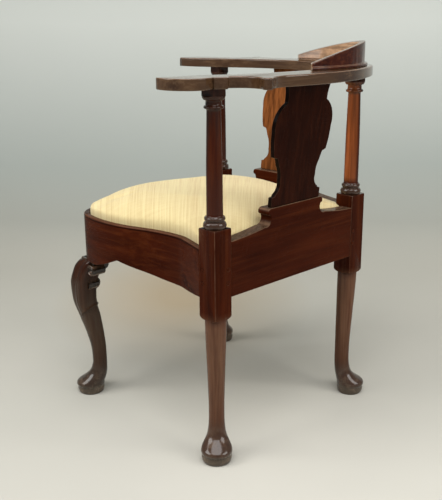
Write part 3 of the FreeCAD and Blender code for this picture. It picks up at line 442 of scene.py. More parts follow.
def polished_wood(name, turn, offset=(0, 0, 0), tones=RED, figure=0.5, gloss=0.20, specular=0.03, **wear):
    """Old polished mahogany, with painted light and shade. The last values are inputs of the group of wear
    and painted light.
    """
    material, w, shader, coords = start_material(name)
    grain = grained(w, coords, turn, offset, tones, Figure=figure, Gloss=gloss)
    worn = placed_group(w, WEAR, Vector=coords.outputs["Object"], Normal=coords.outputs["Normal"],
                        Base=grain.outputs["Color"], **{"Gloss": grain.outputs["Roughness"], **wear})
    w.join(worn.outputs["Color"], shader.inputs["Base Color"])
    w.join(worn.outputs["Roughness"], shader.inputs["Roughness"])
    w.join(worn.outputs["Polish"], shader.inputs["Coat Weight"])
    shader.inputs["Coat Roughness"].default_value = 0.15
    shader.inputs["Specular IOR Level"].default_value = specular
    height = w.less(grain.outputs["Height"], w.times(worn.outputs["Groove"], 6.0))
    roughen(w, shader, height, 0.18, 0.00030)
    return material


def bare_wood(name, turn):
    """Unpolished softwood under the seat."""
    material, w, shader, coords = start_material(name)
    grain = grained(w, coords, turn, (0, 0, 0), PINE, Figure=0.7, Gloss=0.62, Pores=1.4)
    w.join(grain.outputs["Color"], shader.inputs["Base Color"])
    w.join(grain.outputs["Roughness"], shader.inputs["Roughness"])
    roughen(w, shader, grain.outputs["Height"], 0.4, 0.0006)
    return material


def fanned_out(w, plan, reach):
    """Threads along X spread from a point that far out, as over a crown."""
    place = w.split(plan)
    fanned = w.add("CombineXYZ")
    w.join(place["X"], fanned.inputs[0])
    w.join(w.times(place["Y"], w.math("DIVIDE", reach, w.less(reach, place["X"]))), fanned.inputs[1])
    w.join(place["Z"], fanned.inputs[2])
    return fanned.outputs[0]


def woven(name, turn, pitch, light, dark, slub, contrast, cross=0.0, stray=0.4, fan=0.0):
    """Plain weave of two thread sets, thicker along X after the turn, with slubs and uneven colour."""
    material, w, shader, coords = start_material(name)
    plan = w.scaled(coords.outputs["Object"], (1, 1, 1), about("Z", turn))
    if fan:
        plan = fanned_out(w, plan, fan)
    threads = []
    for direction, size in zip("XY", pitch):
        wave = w.add("TexWave", wave_type="BANDS", bands_direction=direction, wave_profile="SIN")
        w.join(plan, wave.inputs["Vector"])
        # A wave runs once in 2 pi / 20 of its scaled coordinate.
        wave.inputs["Scale"].default_value = math.pi / 10 / size
        wave.inputs["Distortion"].default_value = stray
        wave.inputs["Detail"].default_value = 2.0
        wave.inputs["Detail Scale"].default_value = 0.4
        threads.append(wave.outputs["Fac"])
    picks, ribs = threads
    thick = w.noise(w.scaled(plan, (slub[0], slub[1], 1.0)), 1.0, 4.0, 0.6, 0.2)
    thin = w.noise(w.scaled(plan, (slub[1], slub[0] * 2, 1.0)), 1.0, 4.0, 0.6, 0.2)
    wide = w.noise(w.scaled(plan, (slub[0] * 0.3, slub[1] * 0.35, 1.0)), 1.0, 2.0, 0.5, 0.2)
    shade = w.noise(plan, 5.0, 3.0, 0.5, 0.3)
    tone = w.total(w.times(ribs, 0.35), w.times(picks, 0.12),
                   w.times(w.ramp(thick, 0.3, 0.7), contrast),
                   w.times(w.ramp(wide, 0.3, 0.7, -0.16, 0.16), contrast),
                   w.times(w.ramp(thin, 0.3, 0.7, -0.5, 0.5), cross))
    tone = w.math("ADD", tone, w.ramp(shade, 0.3, 0.7, -0.08, 0.12), clamp=True)
    w.join(w.mix(tone, dark, light), shader.inputs["Base Color"])
    w.join(w.ramp(thick, 0.3, 0.7, 0.93, 0.77), shader.inputs["Roughness"])
    shader.inputs["Sheen Weight"].default_value = 0.25
    shader.inputs["Sheen Roughness"].default_value = 0.45
    shader.inputs["Specular IOR Level"].default_value = 0.25
    roughen(w, shader, w.total(ribs, w.times(picks, 0.45), w.times(thick, 1.6)), 0.5, 0.0005)
    return material


def dull_steel(name):
    material, w, shader, coords = start_material(name)
    rust = w.ramp(w.noise(coords.outputs["Object"], 260.0, 5.0, 0.65, 0.3), 0.45, 0.7)
    w.join(w.mix(rust, (0.23, 0.21, 0.20, 1), (0.10, 0.045, 0.025, 1)), shader.inputs["Base Color"])
    w.join(w.ramp(rust, 0.0, 1.0, 0.32, 0.75), shader.inputs["Roughness"])
    w.join(w.ramp(rust, 0.0, 1.0, 1.0, 0.2), shader.inputs["Metallic"])
    return material


UPRIGHT = ("Y", 90)
RIGHT_SIDE = (SQUARE, SQUARE, 0)
LEFT_SIDE = (SQUARE, -SQUARE, 0)
POST_WEAR = {"Plain_low": 0.286, "Plain_high": 0.458, "Edge_of": RIGHT_SIDE, "Rubbed": 0.38,
             "Rubbed_above": 0.287, "Rubbed_below": 0.458, "Rings": 1.0}
LIP_WEAR = {"Lip": 0.4165, "Rubbed": 0.3}
# Upward faces of the shoe painted greyish olive: dust and a painted sheen from above
SHOE_WEAR = {"Fade": 0.8, "Faces": (0, 0, 1), "Faded": (0.105, 0.068, 0.042, 1),
             "Fade_above": 0.39, "Fade_below": 0.60}
# Splats: faces toward the left lamp painted lighter orange as painted light, with rubbed arrises and darker
# sides
SPLAT_WEAR = {"Fade": 0.85, "Faded": (0.36, 0.118, 0.032, 1), "Rubbed": 0.2, "Sides": 0.85}
ARM_FINISH = {"tones": HANDLED, "gloss": 0.06, "specular": 0.36, "Shine": 0.3}

wood_upright = polished_wood("Mahogany_upright", UPRIGHT, Shine=0.35, **POST_WEAR)
# The back post's faces toward the left lamp are painted orange as painted light, above its block
wood_column = polished_wood("Mahogany_back_post", UPRIGHT, (0.4, 0.2, 0.1), Shine=0.3,
                            Fade=1.0, Faces=(0.80, -0.60, 0), Faded=(0.33, 0.086, 0.022, 1),
                            Fade_above=0.482, Fade_below=0.692, **POST_WEAR)
wood_front_leg = polished_wood("Mahogany_front_leg", UPRIGHT, (0.7, 0.3, 0.4), KNEE, Shine=0.40,
                               Plain_low=0.319, Plain_high=0.5, Dull=(0.066, 0.040, 0.023, 1),
                               Dull_blend=0.12, Rubbed_above=0.41)
wood_bracket = polished_wood("Mahogany_brackets", ("Z", -45), (1.7, 0.3, 0.4), SOOTED,
                             Shine=0.85, Dull_below=0.0)
wood_front_right = polished_wood("Mahogany_front_rail_right", ("Z", -45), (0.3, 0.1, 0.0), **LIP_WEAR)
wood_front_left = polished_wood("Mahogany_front_rail_left", ("Z", 45), (0.6, 0.3, 0.0), **LIP_WEAR)
wood_back_right = polished_wood("Mahogany_back_rail_right", ("Z", 45), (0.9, 0.5, 0.2), **SHOE_WEAR)
wood_back_left = polished_wood("Mahogany_back_rail_left", ("Z", -45), (1.2, 0.7, 0.4), **SHOE_WEAR)
wood_splat_right = polished_wood("Mahogany_splat_right", UPRIGHT, (1.5, 0.2, 0.3), DEEP, 0.6,
                                 Faces=(-SQUARE, -SQUARE, 0), Edge_of=RIGHT_SIDE, **SPLAT_WEAR)
wood_splat_left = polished_wood("Mahogany_splat_left", UPRIGHT, (1.9, 0.6, 0.1), DEEP, 0.8,
                                Faces=LEFT_SIDE, Edge_of=LEFT_SIDE, **SPLAT_WEAR)
wood_arm_right = polished_wood("Mahogany_arm_right", ("Z", 53), (0.2, 0.9, 0.0), **ARM_FINISH)
wood_arm_left = polished_wood("Mahogany_arm_left", ("Z", 127), (0.5, 1.3, 0.0), **ARM_FINISH)
# The crest's faces toward −Y are painted lighter as painted light
wood_crest = polished_wood("Mahogany_crest", ("Z", 0), (0.8, 1.7, 0.0), figure=0.8, gloss=0.14, Shine=0.5,
                           Fade=0.9, Faded=(0.48, 0.29, 0.165, 1), Streaks=(9, 9, 170))
pine_one = bare_wood("Bare_softwood_one_way", ("Z", 45))
pine_two = bare_wood("Bare_softwood_other_way", ("Z", -45))
cover_cloth = woven("Cover_cloth", 0, (0.0011, 0.0023), (0.70, 0.585, 0.310, 1),
                    (0.51, 0.345, 0.152, 1), (5.5, 600.0), 1.0, 0.30, fan=2.0)
web_cloth = woven("Webbing_jute", 45, (0.0022, 0.0022), (0.50, 0.38, 0.21, 1),
                  (0.24, 0.17, 0.085, 1), (60.0, 60.0), 0.3)
sack_cloth = woven("Hessian_jute", 45, (0.0016, 0.0016), (0.46, 0.33, 0.17, 1),
                   (0.17, 0.11, 0.05, 1), (90.0, 90.0), 0.3, stray=0.8)
steel = dull_steel("Old_steel")


# Legs drawn ring by ring

def slope(heights, values, i):
    """Slope at a row of a table: along the only side at its ends, level where the values turn."""
    if i in (0, len(heights) - 1):
        j = min(i, len(heights) - 2)
        return (values[j + 1] - values[j]) / (heights[j + 1] - heights[j])
    before = (values[i] - values[i - 1]) / (heights[i] - heights[i - 1])
    after = (values[i + 1] - values[i]) / (heights[i + 1] - heights[i])
    return 0.0 if before * after <= 0 else 2 * before * after / (before + after)


def eased(table, at):
    """Values of a table at a height, along smooth curves that never swing past the table's values."""
    rows = sorted(table)
    heights = [row[0] for row in rows]
    if at <= heights[0]:
        return rows[0][1:]
    if at >= heights[-1]:
        return rows[-1][1:]
    spot = next(i for i in range(len(rows) - 1) if heights[i] <= at <= heights[i + 1])
    gap = heights[spot + 1] - heights[spot]
    t = (at - heights[spot]) / gap
    out = []
    for column in range(1, len(rows[0])):
        values = [row[column] for row in rows]
        leave, arrive = (slope(heights, values, i) * gap for i in (spot, spot + 1))
        out.append(values[spot] * (2 * t ** 3 - 3 * t ** 2 + 1) + leave * (t ** 3 - 2 * t ** 2 + t)
                   + values[spot + 1] * (3 * t ** 2 - 2 * t ** 3) + arrive * (t ** 3 - t ** 2))
    return out


FOOT_TOP = 60.0             # up to this height in mm the rings lie close together
FOOT_STEP = 1.3
LEG_STEP = 2.2
LEAST_STEP = 0.7


def levels(table):
    """Heights for the rings: close together in the foot, further apart in the leg."""
    bottom, top = min(row[0] for row in table), max(row[0] for row in table)
    out = [row[0] for row in table if row[0] < FOOT_TOP]
    steps = [bottom + FOOT_STEP * i for i in range(int(FOOT_TOP / FOOT_STEP))]
    out += [z for z in steps if all(abs(z - y) > LEAST_STEP for y in out)]
    z = FOOT_TOP + 2.0
    while z < top - 1:
        out.append(z)
        z += LEG_STEP
    return sorted(set(out + [top]))


def skinned(bm, rings):
    """Faces between rings of vertices and over both ends."""
    for low, high in zip(rings, rings[1:]):
        for step in range(len(low)):
            after = (step + 1) % len(low)
            bm.faces.new((low[step], low[after], high[after], high[step]))
    bm.faces.new(list(reversed(rings[0])))
    bm.faces.new(rings[-1])


def add_leg(bm, table, place, relief=None, around=72):
    """Adds a leg to an edited mesh. Table rows: height, toe, heel, half width and fullness in mm."""
    rings = []
    for z in levels(table):
        toe, heel, half, full = eased(table, z)
        ring = []
        for step in range(around):
            angle = 2 * math.pi * step / around
            ahead, aside = math.cos(angle), math.sin(angle)
            share = 1 - (1 - full) * math.sin(2 * angle) ** 2
            out = (toe - heel) / 2 + ahead * share * (toe + heel) / 2
            side = aside * share * half
            if relief:
                grow = relief(abs(math.degrees(math.atan2(aside, ahead))), z)
                out += ahead * grow
                side += aside * grow
            ring.append(bm.verts.new(place @ Vector((out / 1000, side / 1000, z / 1000))))
        rings.append(ring)
    skinned(bm, rings)


# Height, toe, heel, half width and fullness (1 is round), in mm
POST_LEG = [(289, 19.6, 19.6, 19.6, 1), (286, 20.3, 20.5, 20.4, 1), (270, 19.9, 20.7, 20.1, 1),
            (246, 18.8, 20.8, 19.5, 1), (223, 17.4, 20.8, 18.8, 1), (200, 15.8, 20.8, 17.9, 1),
            (176, 14.4, 20.8, 17.1, 1), (152, 13.0, 20.8, 16.4, 1), (128, 11.7, 20.7, 15.7, 1),
            (104, 10.9, 20.7, 15.2, 1), (84, 11.0, 20.7, 15.2, 1), (69, 12.0, 20.4, 15.8, 1),
            (57, 14.4, 19.7, 17.0, 1), (47, 19.0, 18.6, 19.3, 1), (40, 25.5, 17.2, 22.6, 1),
            (34, 34.0, 15.8, 26.2, 1), (30, 40.2, 14.8, 28.4, 1), (26, 44.8, 13.8, 29.9, 1),
            (22, 46.4, 13.2, 30.3, 1), (19, 46.0, 13.0, 29.9, 1), (16.5, 44.0, 12.6, 28.8, 1),
            (15.4, 43.2, 12.4, 28.3, 1), (14.6, 43.3, 12.4, 28.4, 1), (12.5, 44.3, 12.7, 29.2, 1),
            (9, 44.5, 12.8, 29.3, 1), (4, 43.6, 12.3, 28.6, 1), (1, 42.2, 11.3, 27.5, 1),
            (0, 41.4, 10.7, 26.9, 1)]
# The front leg's reaches are counted from the middle of the seat, so its heel is negative.
FRONT_LEG = [(319, 289, -250.3, 27, 0.84), (311, 304.5, -251.3, 29.5, 0.80), (294, 316, -255.3, 30.5, 0.80),
             (258, 325, -268, 29.5, 0.82), (224, 322.4, -271.5, 26.5, 0.85), (182, 309.5, -263.5, 22.5, 0.89),
             (140, 295.5, -257.6, 19, 0.93), (100, 287, -254.5, 16.4, 0.98), (74, 286, -254.3, 16.2, 1),
             (57, 290, -254.3, 17.6, 1), (47, 296.5, -255.2, 20.5, 1), (40, 304, -256.6, 23.7, 1),
             (34, 312.5, -258.4, 27.2, 1), (29, 319.5, -260.2, 29.8, 1), (24.5, 324, -261.8, 31.4, 1),
             (20.5, 325.3, -262.6, 31.8, 1), (18, 324.2, -263, 31.1, 1), (16, 322, -263.6, 29.8, 1),
             (15, 321.4, -264, 29.3, 1), (14.2, 321.5, -264, 29.4, 1), (12, 322.6, -263.6, 30.2, 1),
             (8.5, 322.8, -263.4, 30.3, 1), (4, 321.9, -264, 29.6, 1), (1, 320.4, -265, 28.4, 1),
             (0, 319.5, -265.8, 27.7, 1)]


def soft_step(value):
    """Smooth step from 0 to 1."""
    value = min(1.0, max(0.0, value))
    return value * value * (3 - 2 * value)


# Lower edge of the lappet in mm, by degrees from the toe
LAPPET = [(0, 176.0), (35, 180.0), (63, 190.0), (90, 199.0), (110, 202.5), (139, 206.0), (180, 208.0)]


def lappet(degrees, z):
    """Carving on the knee: a raised lappet with a beaded lower edge and a quirk along the front."""
    if not 150 < z < 300:
        return 0.0
    edge = eased(LAPPET, degrees)[0]
    side = soft_step((degrees - 38) / 22)
    panel = 1.3 * soft_step((z - edge) / 2.4) * (1 - soft_step((z - 222) / 40))
    bead = 2.3 * math.exp(-((z - edge - 2.2) / 1.7) ** 2)
    quirk = -1.0 * math.exp(-((degrees - 66) / 3.6) ** 2) * soft_step((z - edge - 4) / 6)
    quirk *= 1 - soft_step((z - 262) / 20)
    return side * (panel + bead) + quirk


def without_leg(node, top):
    """Copy of a node without what lies below a height."""
    bm = flattened(node)
    gone = [f for f in bm.faces if min(v.co.z for v in f.verts) < top]
    bmesh.ops.delete(bm, geom=gone, context="FACES")
    return bm


def standing(x, y, degrees):
    """Where a leg stands and which way its toe points."""
    return Matrix.Translation((x, y + SHIFT, 0)) @ Matrix.Rotation(math.radians(degrees), 4, "Z")


for node, wood, place in (("side_post_right", wood_upright, standing(POST_REACH, 0, 0)),
                          ("side_post_left", wood_upright, standing(-POST_REACH, 0, 180)),
                          ("back_post", wood_column, standing(0, POST_REACH, 90))):
    post = without_leg(node, POST_LEG_TOP)
    add_leg(post, POST_LEG, place)
    dressed(post, node, node.capitalize(), wood, "mahogany", 0.0016,
            share=by_height((BLOCK_FOOT, 1.0)))

front = without_leg("front_leg", FRONT_LEG_TOP)
add_leg(front, FRONT_LEG, standing(0, 0, -90), lappet, 96)
dressed(front, "front_leg", "Front_leg", wood_front_leg, "mahogany", 0.0030, 3,
        share=by_height((KNEE_BLOCK_TOP, 1.0), (KNEE_BLOCK_FOOT, 0.4)))


# Scroll brackets beside the knee

END = 157.0                 # from the middle of the rail to the end of the upper roll, in mm
ROLL_BACK = 187.0
ROLL_FACE = 215.0
UPPER_FACE = 220.0
COLLAR = 209.0
UPPER_ROLL = (END + 11.4, 297.4)
UPPER_RADIUS = 12.4
LOWER_ROLL = (END + 37.2, 259.6)
LOWER_RADIUS = 13.0
WEB = [(END + 52, 319.2), (END + 52, 242), (END + 42, 248), (END + 33, 262), (END + 28, 278),
       (END + 21, 284), (END + 14, 297), (END + 7.5, 308), (END + 7, 319.2)]


def rail_point(x, out, z):
    """Point of the right front side's own frame, in metres: along the rail, outward and up."""
    return Vector(((out - x) * SQUARE / 1000, -(out + x) * SQUARE / 1000 + SHIFT, z / 1000))


def drawn_through(bm, outlines):
    """Solid through outlines of (along, height), each at its own depth."""
    skinned(bm, [[bm.verts.new(rail_point(x, depth, z)) for x, z in outline] for outline, depth in outlines])


def turned(bm, middle, profile, count=40):
    """Solid turned about an axis that points outward from the rail, through radii at depths."""
    turns = [2 * math.pi * i / count for i in range(count)]
    x, z = middle
    drawn_through(bm, [([(x + radius * math.cos(turn), z + radius * math.sin(turn)) for turn in turns], depth)
                       for radius, depth in profile])


def scroll_end(radius, face):
    """Radii and depths of a scroll with a beaded rim, a hollow and a deep eye."""
    return [(radius - 0.6, ROLL_BACK), (radius, ROLL_BACK + 0.6), (radius, face - 2.0),
            (radius - 0.5, face - 0.7), (radius - 1.6, face), (radius - 2.8, face - 0.6),
            (radius - 3.7, face - 2.4), (radius - 4.8, face - 2.6), (radius - 5.8, face - 1.2),
            (radius - 6.9, face - 1.3), (radius - 7.6, face - 3.4), (2.2, face - 5.5), (0.6, face - 5.8)]


def collared_end(radius, collar):
    """Radii and depths of a plain roll with a bead where it leaves the knee."""
    return [(radius - 0.6, ROLL_BACK), (radius, ROLL_BACK + 0.6), (radius, collar - 1.8),
            (radius + 1.1, collar - 1.2), (radius + 1.5, collar), (radius + 1.1, collar + 1.2),
            (radius, collar + 1.8), (radius, ROLL_FACE)]


for side, flip in (("right", 1), ("left", -1)):
    knee = bmesh.new()
    turned(knee, UPPER_ROLL, scroll_end(UPPER_RADIUS, UPPER_FACE))
    turned(knee, LOWER_ROLL, collared_end(LOWER_RADIUS, COLLAR))
    drawn_through(knee, [(WEB, ROLL_BACK + 1.5), (WEB, ROLL_FACE - 2.5)])
    bmesh.ops.scale(knee, vec=(flip, 1, 1), verts=knee.verts)
    bmesh.ops.recalc_face_normals(knee, faces=knee.faces)
    dressed(knee, "front_knee_bracket_" + side, "Knee_bracket_" + side, wood_bracket, "mahogany",
            0.0014, 3, 30, by_height((BRACKET_TOP, 1.0), below=0.3))


# Rails, splats, arms and the pieces below the seat

for node, wood in (("front_rail_right", wood_front_right), ("front_rail_left", wood_front_left)):
    rounded_copy(node, wood, "mahogany", 0.0030, 3, share=by_height((RAIL_TOP, 1.0), below=0.4))
for node, wood, width, segments in (
        ("back_rail_right", wood_back_right, 0.0018, 2), ("back_rail_left", wood_back_left, 0.0018, 2),
        ("splat_right", wood_splat_right, 0.0014, 2), ("splat_left", wood_splat_left, 0.0014, 2),
        ("arm_right", wood_arm_right, 0.0018, 3), ("arm_left", wood_arm_left, 0.0018, 3),
        ("crest", wood_crest, 0.0020, 3)):
    rounded_copy(node, wood, "mahogany", width, segments)
for corner, wood in zip(("front", "right", "back", "left"), (pine_one, pine_two) * 2):
    rounded_copy("corner_block_" + corner, wood, "secondary_wood", 0.001)
for corner, wood in zip(("front_right", "back_right", "back_left", "front_left"), (pine_two, pine_one) * 2):
    rounded_copy("seat_frame_" + corner, wood, "secondary_wood", 0.001, name="Loose_frame_" + corner)

# The pegs are grown a little to fill their holes.
pegs = flattened("tenon_pegs")
pegs.normal_update()
for vertex in pegs.verts:
    vertex.co += vertex.normal * PEG_GROWTH
dressed(pegs, "tenon_pegs", "Tenon_pegs", wood_upright, "mahogany", 0.0003)
rounded_copy("crest_screws", steel, "screw_steel", 0.0002)

# Six straps of webbing and one piece of hessian, stretched over the loose frame
straps = rounded_copy("seat_webbing", web_cloth, "webbing", 0.0003, name="Webbing")
sacking = rounded_copy("seat_hessian", sack_cloth, "hessian", 0.0, name="Hessian")


# Cushion

VOXEL = 0.005
SKIN_ROUNDS = 6000
SINK = 0.42                 # share of the crown that is lost towards the back corner
SINK_START = 0.07
SINK_LENGTH = 0.16
FILL_FRAMES = 20
MOST_FILLED = 0.0045        # how far the filling may push the cover
UNDERSIDE = 0.006           # thickness of the layer that counts as the cushion's underside


def outer_sheet():
    """Outside of the CAD cover: every face that looks away from the middle of the seat."""
    bm = merged("seat_cover")
    bm.normal_update()
    middle = Vector((0, SHIFT, 0.428))
    inner = [f for f in bm.faces if f.normal.dot(f.calc_center_median() - middle) < 0]
    bmesh.ops.delete(bm, geom=inner, context="FACES")
    rim = [e for e in bm.edges if e.is_boundary]
    bmesh.ops.holes_fill(bm, edges=rim, sides=0)
    bmesh.ops.recalc_face_normals(bm, faces=bm.faces)
    mesh = bpy.data.meshes.new("Cushion_blank")
    bm.to_mesh(mesh)
    bm.free()
    return mesh


def in_seat_square(point, half):
    """True inside the square of that half side whose corners point to the posts."""
    x, y = point.x, point.y - SHIFT
    return abs(x + y) * SQUARE < half and abs(x - y) * SQUARE < half


def apply_modifiers(obj):
    """Replaces the object's mesh by its evaluated one and clears its modifiers."""
    bpy.context.view_layer.update()
    evaluated = obj.evaluated_get(bpy.context.evaluated_depsgraph_get())
    mesh = bpy.data.meshes.new_from_object(evaluated)
    obj.modifiers.clear()
    obj.data = mesh


def stretch_crown(mesh):
    """Gives the top the height of a skin stretched over the seat: steep at the rim, flat in the middle."""
    count = len(mesh.vertices)
    loose = np.array([v.co.z > SIDE_TOP + 0.0010 and v.normal.z > -0.2 for v in mesh.vertices])
    ends = np.array([tuple(e.vertices) for e in mesh.edges])
    a, b = ends[:, 0], ends[:, 1]
    ties = np.bincount(a, minlength=count) + np.bincount(b, minlength=count)
    skin = np.zeros(count)
    for _ in range(SKIN_ROUNDS):
        total = np.bincount(a, skin[b], count) + np.bincount(b, skin[a], count)
        skin = np.where(loose, total / ties + 1.0, 0.0)
    skin /= skin.max()
    rise = CROWN_RISE * (1 - (1 - skin) ** CROWN_ROUND)
    for vertex in mesh.vertices:
        if loose[vertex.index]:
            kept = 1 - SINK * soft_step((vertex.co.y - SINK_START) / SINK_LENGTH)
            vertex.co.z = SIDE_TOP + 0.0008 + rise[vertex.index] * kept


def blank_cushion():
    """Evenly meshed outside of the CAD cover, with its crown."""
    plain = link(bpy.data.objects.new("Cushion_blank", outer_sheet()))
    remesh = plain.modifiers.new("Even", "REMESH")
    remesh.mode = "VOXEL"
    remesh.voxel_size = VOXEL
    apply_modifiers(plain)
    mesh = plain.data
    obj = mesh_object("Cushion", [v.co for v in mesh.vertices], [p.vertices for p in mesh.polygons])
    bpy.data.objects.remove(plain)
    stretch_crown(obj.data)
    return obj


def press_out(obj):
    """Cloth simulation: pressure fills the cover while its sides are held."""
    hold = obj.vertex_groups.new(name="Held")
    for vertex in obj.data.vertices:
        weight = min(1.0, max(0.0, (SIDE_TOP + 0.004 - vertex.co.z) / 0.010))
        hold.add([vertex.index], weight, "REPLACE")
    cloth = obj.modifiers.new("Filling", "CLOTH")
    cloth.settings.use_pressure = True
    cloth.settings.uniform_pressure_force = 3.0
    cloth.settings.effector_weights.gravity = 0
    cloth.settings.vertex_group_mass = "Held"
    cloth.settings.tension_stiffness = 12
    cloth.settings.compression_stiffness = 12
    cloth.settings.bending_stiffness = 1.5
    cloth.point_cache.frame_start = 1
    cloth.point_cache.frame_end = FILL_FRAMES
    scene = bpy.context.scene
    for number in range(1, FILL_FRAMES + 1):
        scene.frame_set(number)
    apply_modifiers(obj)
    scene.frame_set(1)


def fill_out(obj):
    """Presses the cover out, within a limit and not at its foot."""
    start = [v.co.copy() for v in obj.data.vertices]
    press_out(obj)
    for vertex, before in zip(obj.data.vertices, start):
        step = vertex.co - before
        share = min(1.0, max(0.0, (before.z - SIDE_TOP + 0.002) / 0.012))
        if step.length > MOST_FILLED:
            step *= MOST_FILLED / step.length
        vertex.co = before + step * share


def open_below(obj):
    """Cuts the mouth that a turned-in cover leaves below, levels its foot and smooths its top."""
    bm = bmesh.new()
    bm.from_mesh(obj.data)
    below = [f for f in bm.faces if f.calc_center_median().z < COVER_FOOT + UNDERSIDE
             and in_seat_square(f.calc_center_median(), MOUTH_HALF)]
    bmesh.ops.delete(bm, geom=below, context="FACES")
    for vertex in bm.verts:
        if vertex.co.z < COVER_FOOT + 0.0015:
            vertex.co.z = COVER_FOOT
    bmesh.ops.smooth_vert(bm, verts=[v for v in bm.verts if v.co.z > SIDE_TOP + 0.004], factor=0.5,
                          use_axis_x=True, use_axis_y=True, use_axis_z=True)
    mesh = bpy.data.meshes.new("Cushion_cloth")
    bm.to_mesh(mesh)
    bm.free()
    obj.data = mesh
    mesh.shade_smooth()


cushion = blank_cushion()
fill_out(cushion)
open_below(cushion)
skin = cushion.modifiers.new("Cloth_thickness", "SOLIDIFY")
skin.thickness = 0.0011
skin.offset = -1
finer = cushion.modifiers.new("Finer", "SUBSURF")
finer.levels = 1
finer.render_levels = 1
cushion.data.materials.append(cover_cloth)
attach(cushion, SEAT_BODY)
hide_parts("seat_cover", "seat_pad")


# Tacks that hold the cover under the seat frame

TACK_LINE = 0.1675          # from the middle of the seat to each of the four rows
TACK_REACH = 0.132          # half a row's length


def tack_tree():
    """Geometry nodes that set a round tack head at even steps along every edge."""
    tree = bpy.data.node_groups.new("Tack_row", "GeometryNodeTree")
    face = tree.interface
    face.new_socket("Geometry", in_out="INPUT", socket_type="NodeSocketGeometry")
    for label, value in (("Spacing", 0.022), ("Head_radius", 0.0042), ("Head_height", 0.0010)):
        socket = face.new_socket(label, in_out="INPUT", socket_type="NodeSocketFloat")
        socket.default_value = value
    face.new_socket("Metal", in_out="INPUT", socket_type="NodeSocketMaterial")
    face.new_socket("Geometry", in_out="OUTPUT", socket_type="NodeSocketGeometry")
    w = Wiring(tree)
    entry = tree.nodes.new("NodeGroupInput").outputs
    leave = tree.nodes.new("NodeGroupOutput").inputs

    def placed(kind, first, mode=None, **inputs):
        """Adds a node, fills its first input and those named, and returns the node's first output."""
        node = tree.nodes.new(kind)
        if mode:
            node.mode = mode
        w.put(node.inputs[0], first)
        for label, value in inputs.items():
            w.put(node.inputs[label], value)
        return node.outputs[0]

    line = placed("GeometryNodeMeshToCurve", entry["Geometry"])
    points = placed("GeometryNodeResampleCurve", line, "LENGTH", Length=entry["Spacing"])
    head = placed("GeometryNodeMeshUVSphere", 12, Rings=6, Radius=entry["Head_radius"])
    squash = placed("ShaderNodeCombineXYZ", 1, Y=1,
                    Z=w.math("DIVIDE", entry["Head_height"], entry["Head_radius"]))
    flat = placed("GeometryNodeTransform", head, Scale=squash)
    spread = placed("GeometryNodeInstanceOnPoints", points, Instance=flat)
    real = placed("GeometryNodeRealizeInstances", spread)
    paint = placed("GeometryNodeSetMaterial", real, Material=entry["Metal"])
    w.join(placed("GeometryNodeSetShadeSmooth", paint), leave[0])
    return tree


def tack_lines():
    """Mesh with one edge for each row of tacks."""
    vertices = []
    for quarter in range(4):
        turn = Matrix.Rotation(math.radians(45 + 90 * quarter), 3, "Z")
        for along in (-TACK_REACH, TACK_REACH):
            place = turn @ Vector((along, TACK_LINE, 0))
            vertices.append((place.x, place.y + SHIFT, COVER_FOOT - 0.0002))
    mesh = bpy.data.meshes.new("Cover_tacks")
    mesh.from_pydata(vertices, [(i, i + 1) for i in range(0, len(vertices), 2)], [])
    return mesh


tacks = link(bpy.data.objects.new("Cover_tacks", tack_lines()))
row = tacks.modifiers.new("Row", "NODES")
row.node_group = tack_tree()
for item in row.node_group.interface.items_tree:
    if item.item_type == "SOCKET" and item.in_out == "INPUT" and item.name == "Metal":
        row[item.identifier] = steel
apply_modifiers(tacks)
if not tacks.data.materials:
    tacks.data.materials.append(steel)
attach(tacks, SEAT_BODY)


# Floor, backdrop, lamps and camera

# Section of the sweep in metres, and the distances over which its edges die away
SWEEP_FRONT = 6.0
SWEEP_BACK = -1.9
SWEEP_HALF = 7.0
SWEEP_TOP = 5.0
SWEEP_RADIUS = 1.1
SWEEP_STEPS = 24
EDGE_FADE = (2.4, 5.0)

# Colours of the paper from the floor up, darker far away and at the wall's foot as painted light, and a warm
# painted shadow, with painted bounce light, on the floor behind the legs
FLOOR_NEAR = (0.54, 0.52, 0.465, 1)
FLOOR_FAR = (0.415, 0.40, 0.35, 1)
FLOOR_PATCH = (0.37, 0.285, 0.180, 1)
WALL_FOOT = (0.33, 0.332, 0.296, 1)
WALL_LOW = (0.335, 0.357, 0.330, 1)
WALL_HIGH = (0.56, 0.58, 0.545, 1)
PATCH_MIDDLE = (-0.64, -0.12)
PATCH_SIZE = (0.48, 0.36)


def shown_or(w, share, first, second):
    """Mix of two shaders; the share is that of the second."""
    either = w.add("MixShader")
    w.join(share, either.inputs[0])
    w.join(first.outputs[0], either.inputs[1])
    w.join(second.outputs[0], either.inputs[2])
    return either.outputs[0]


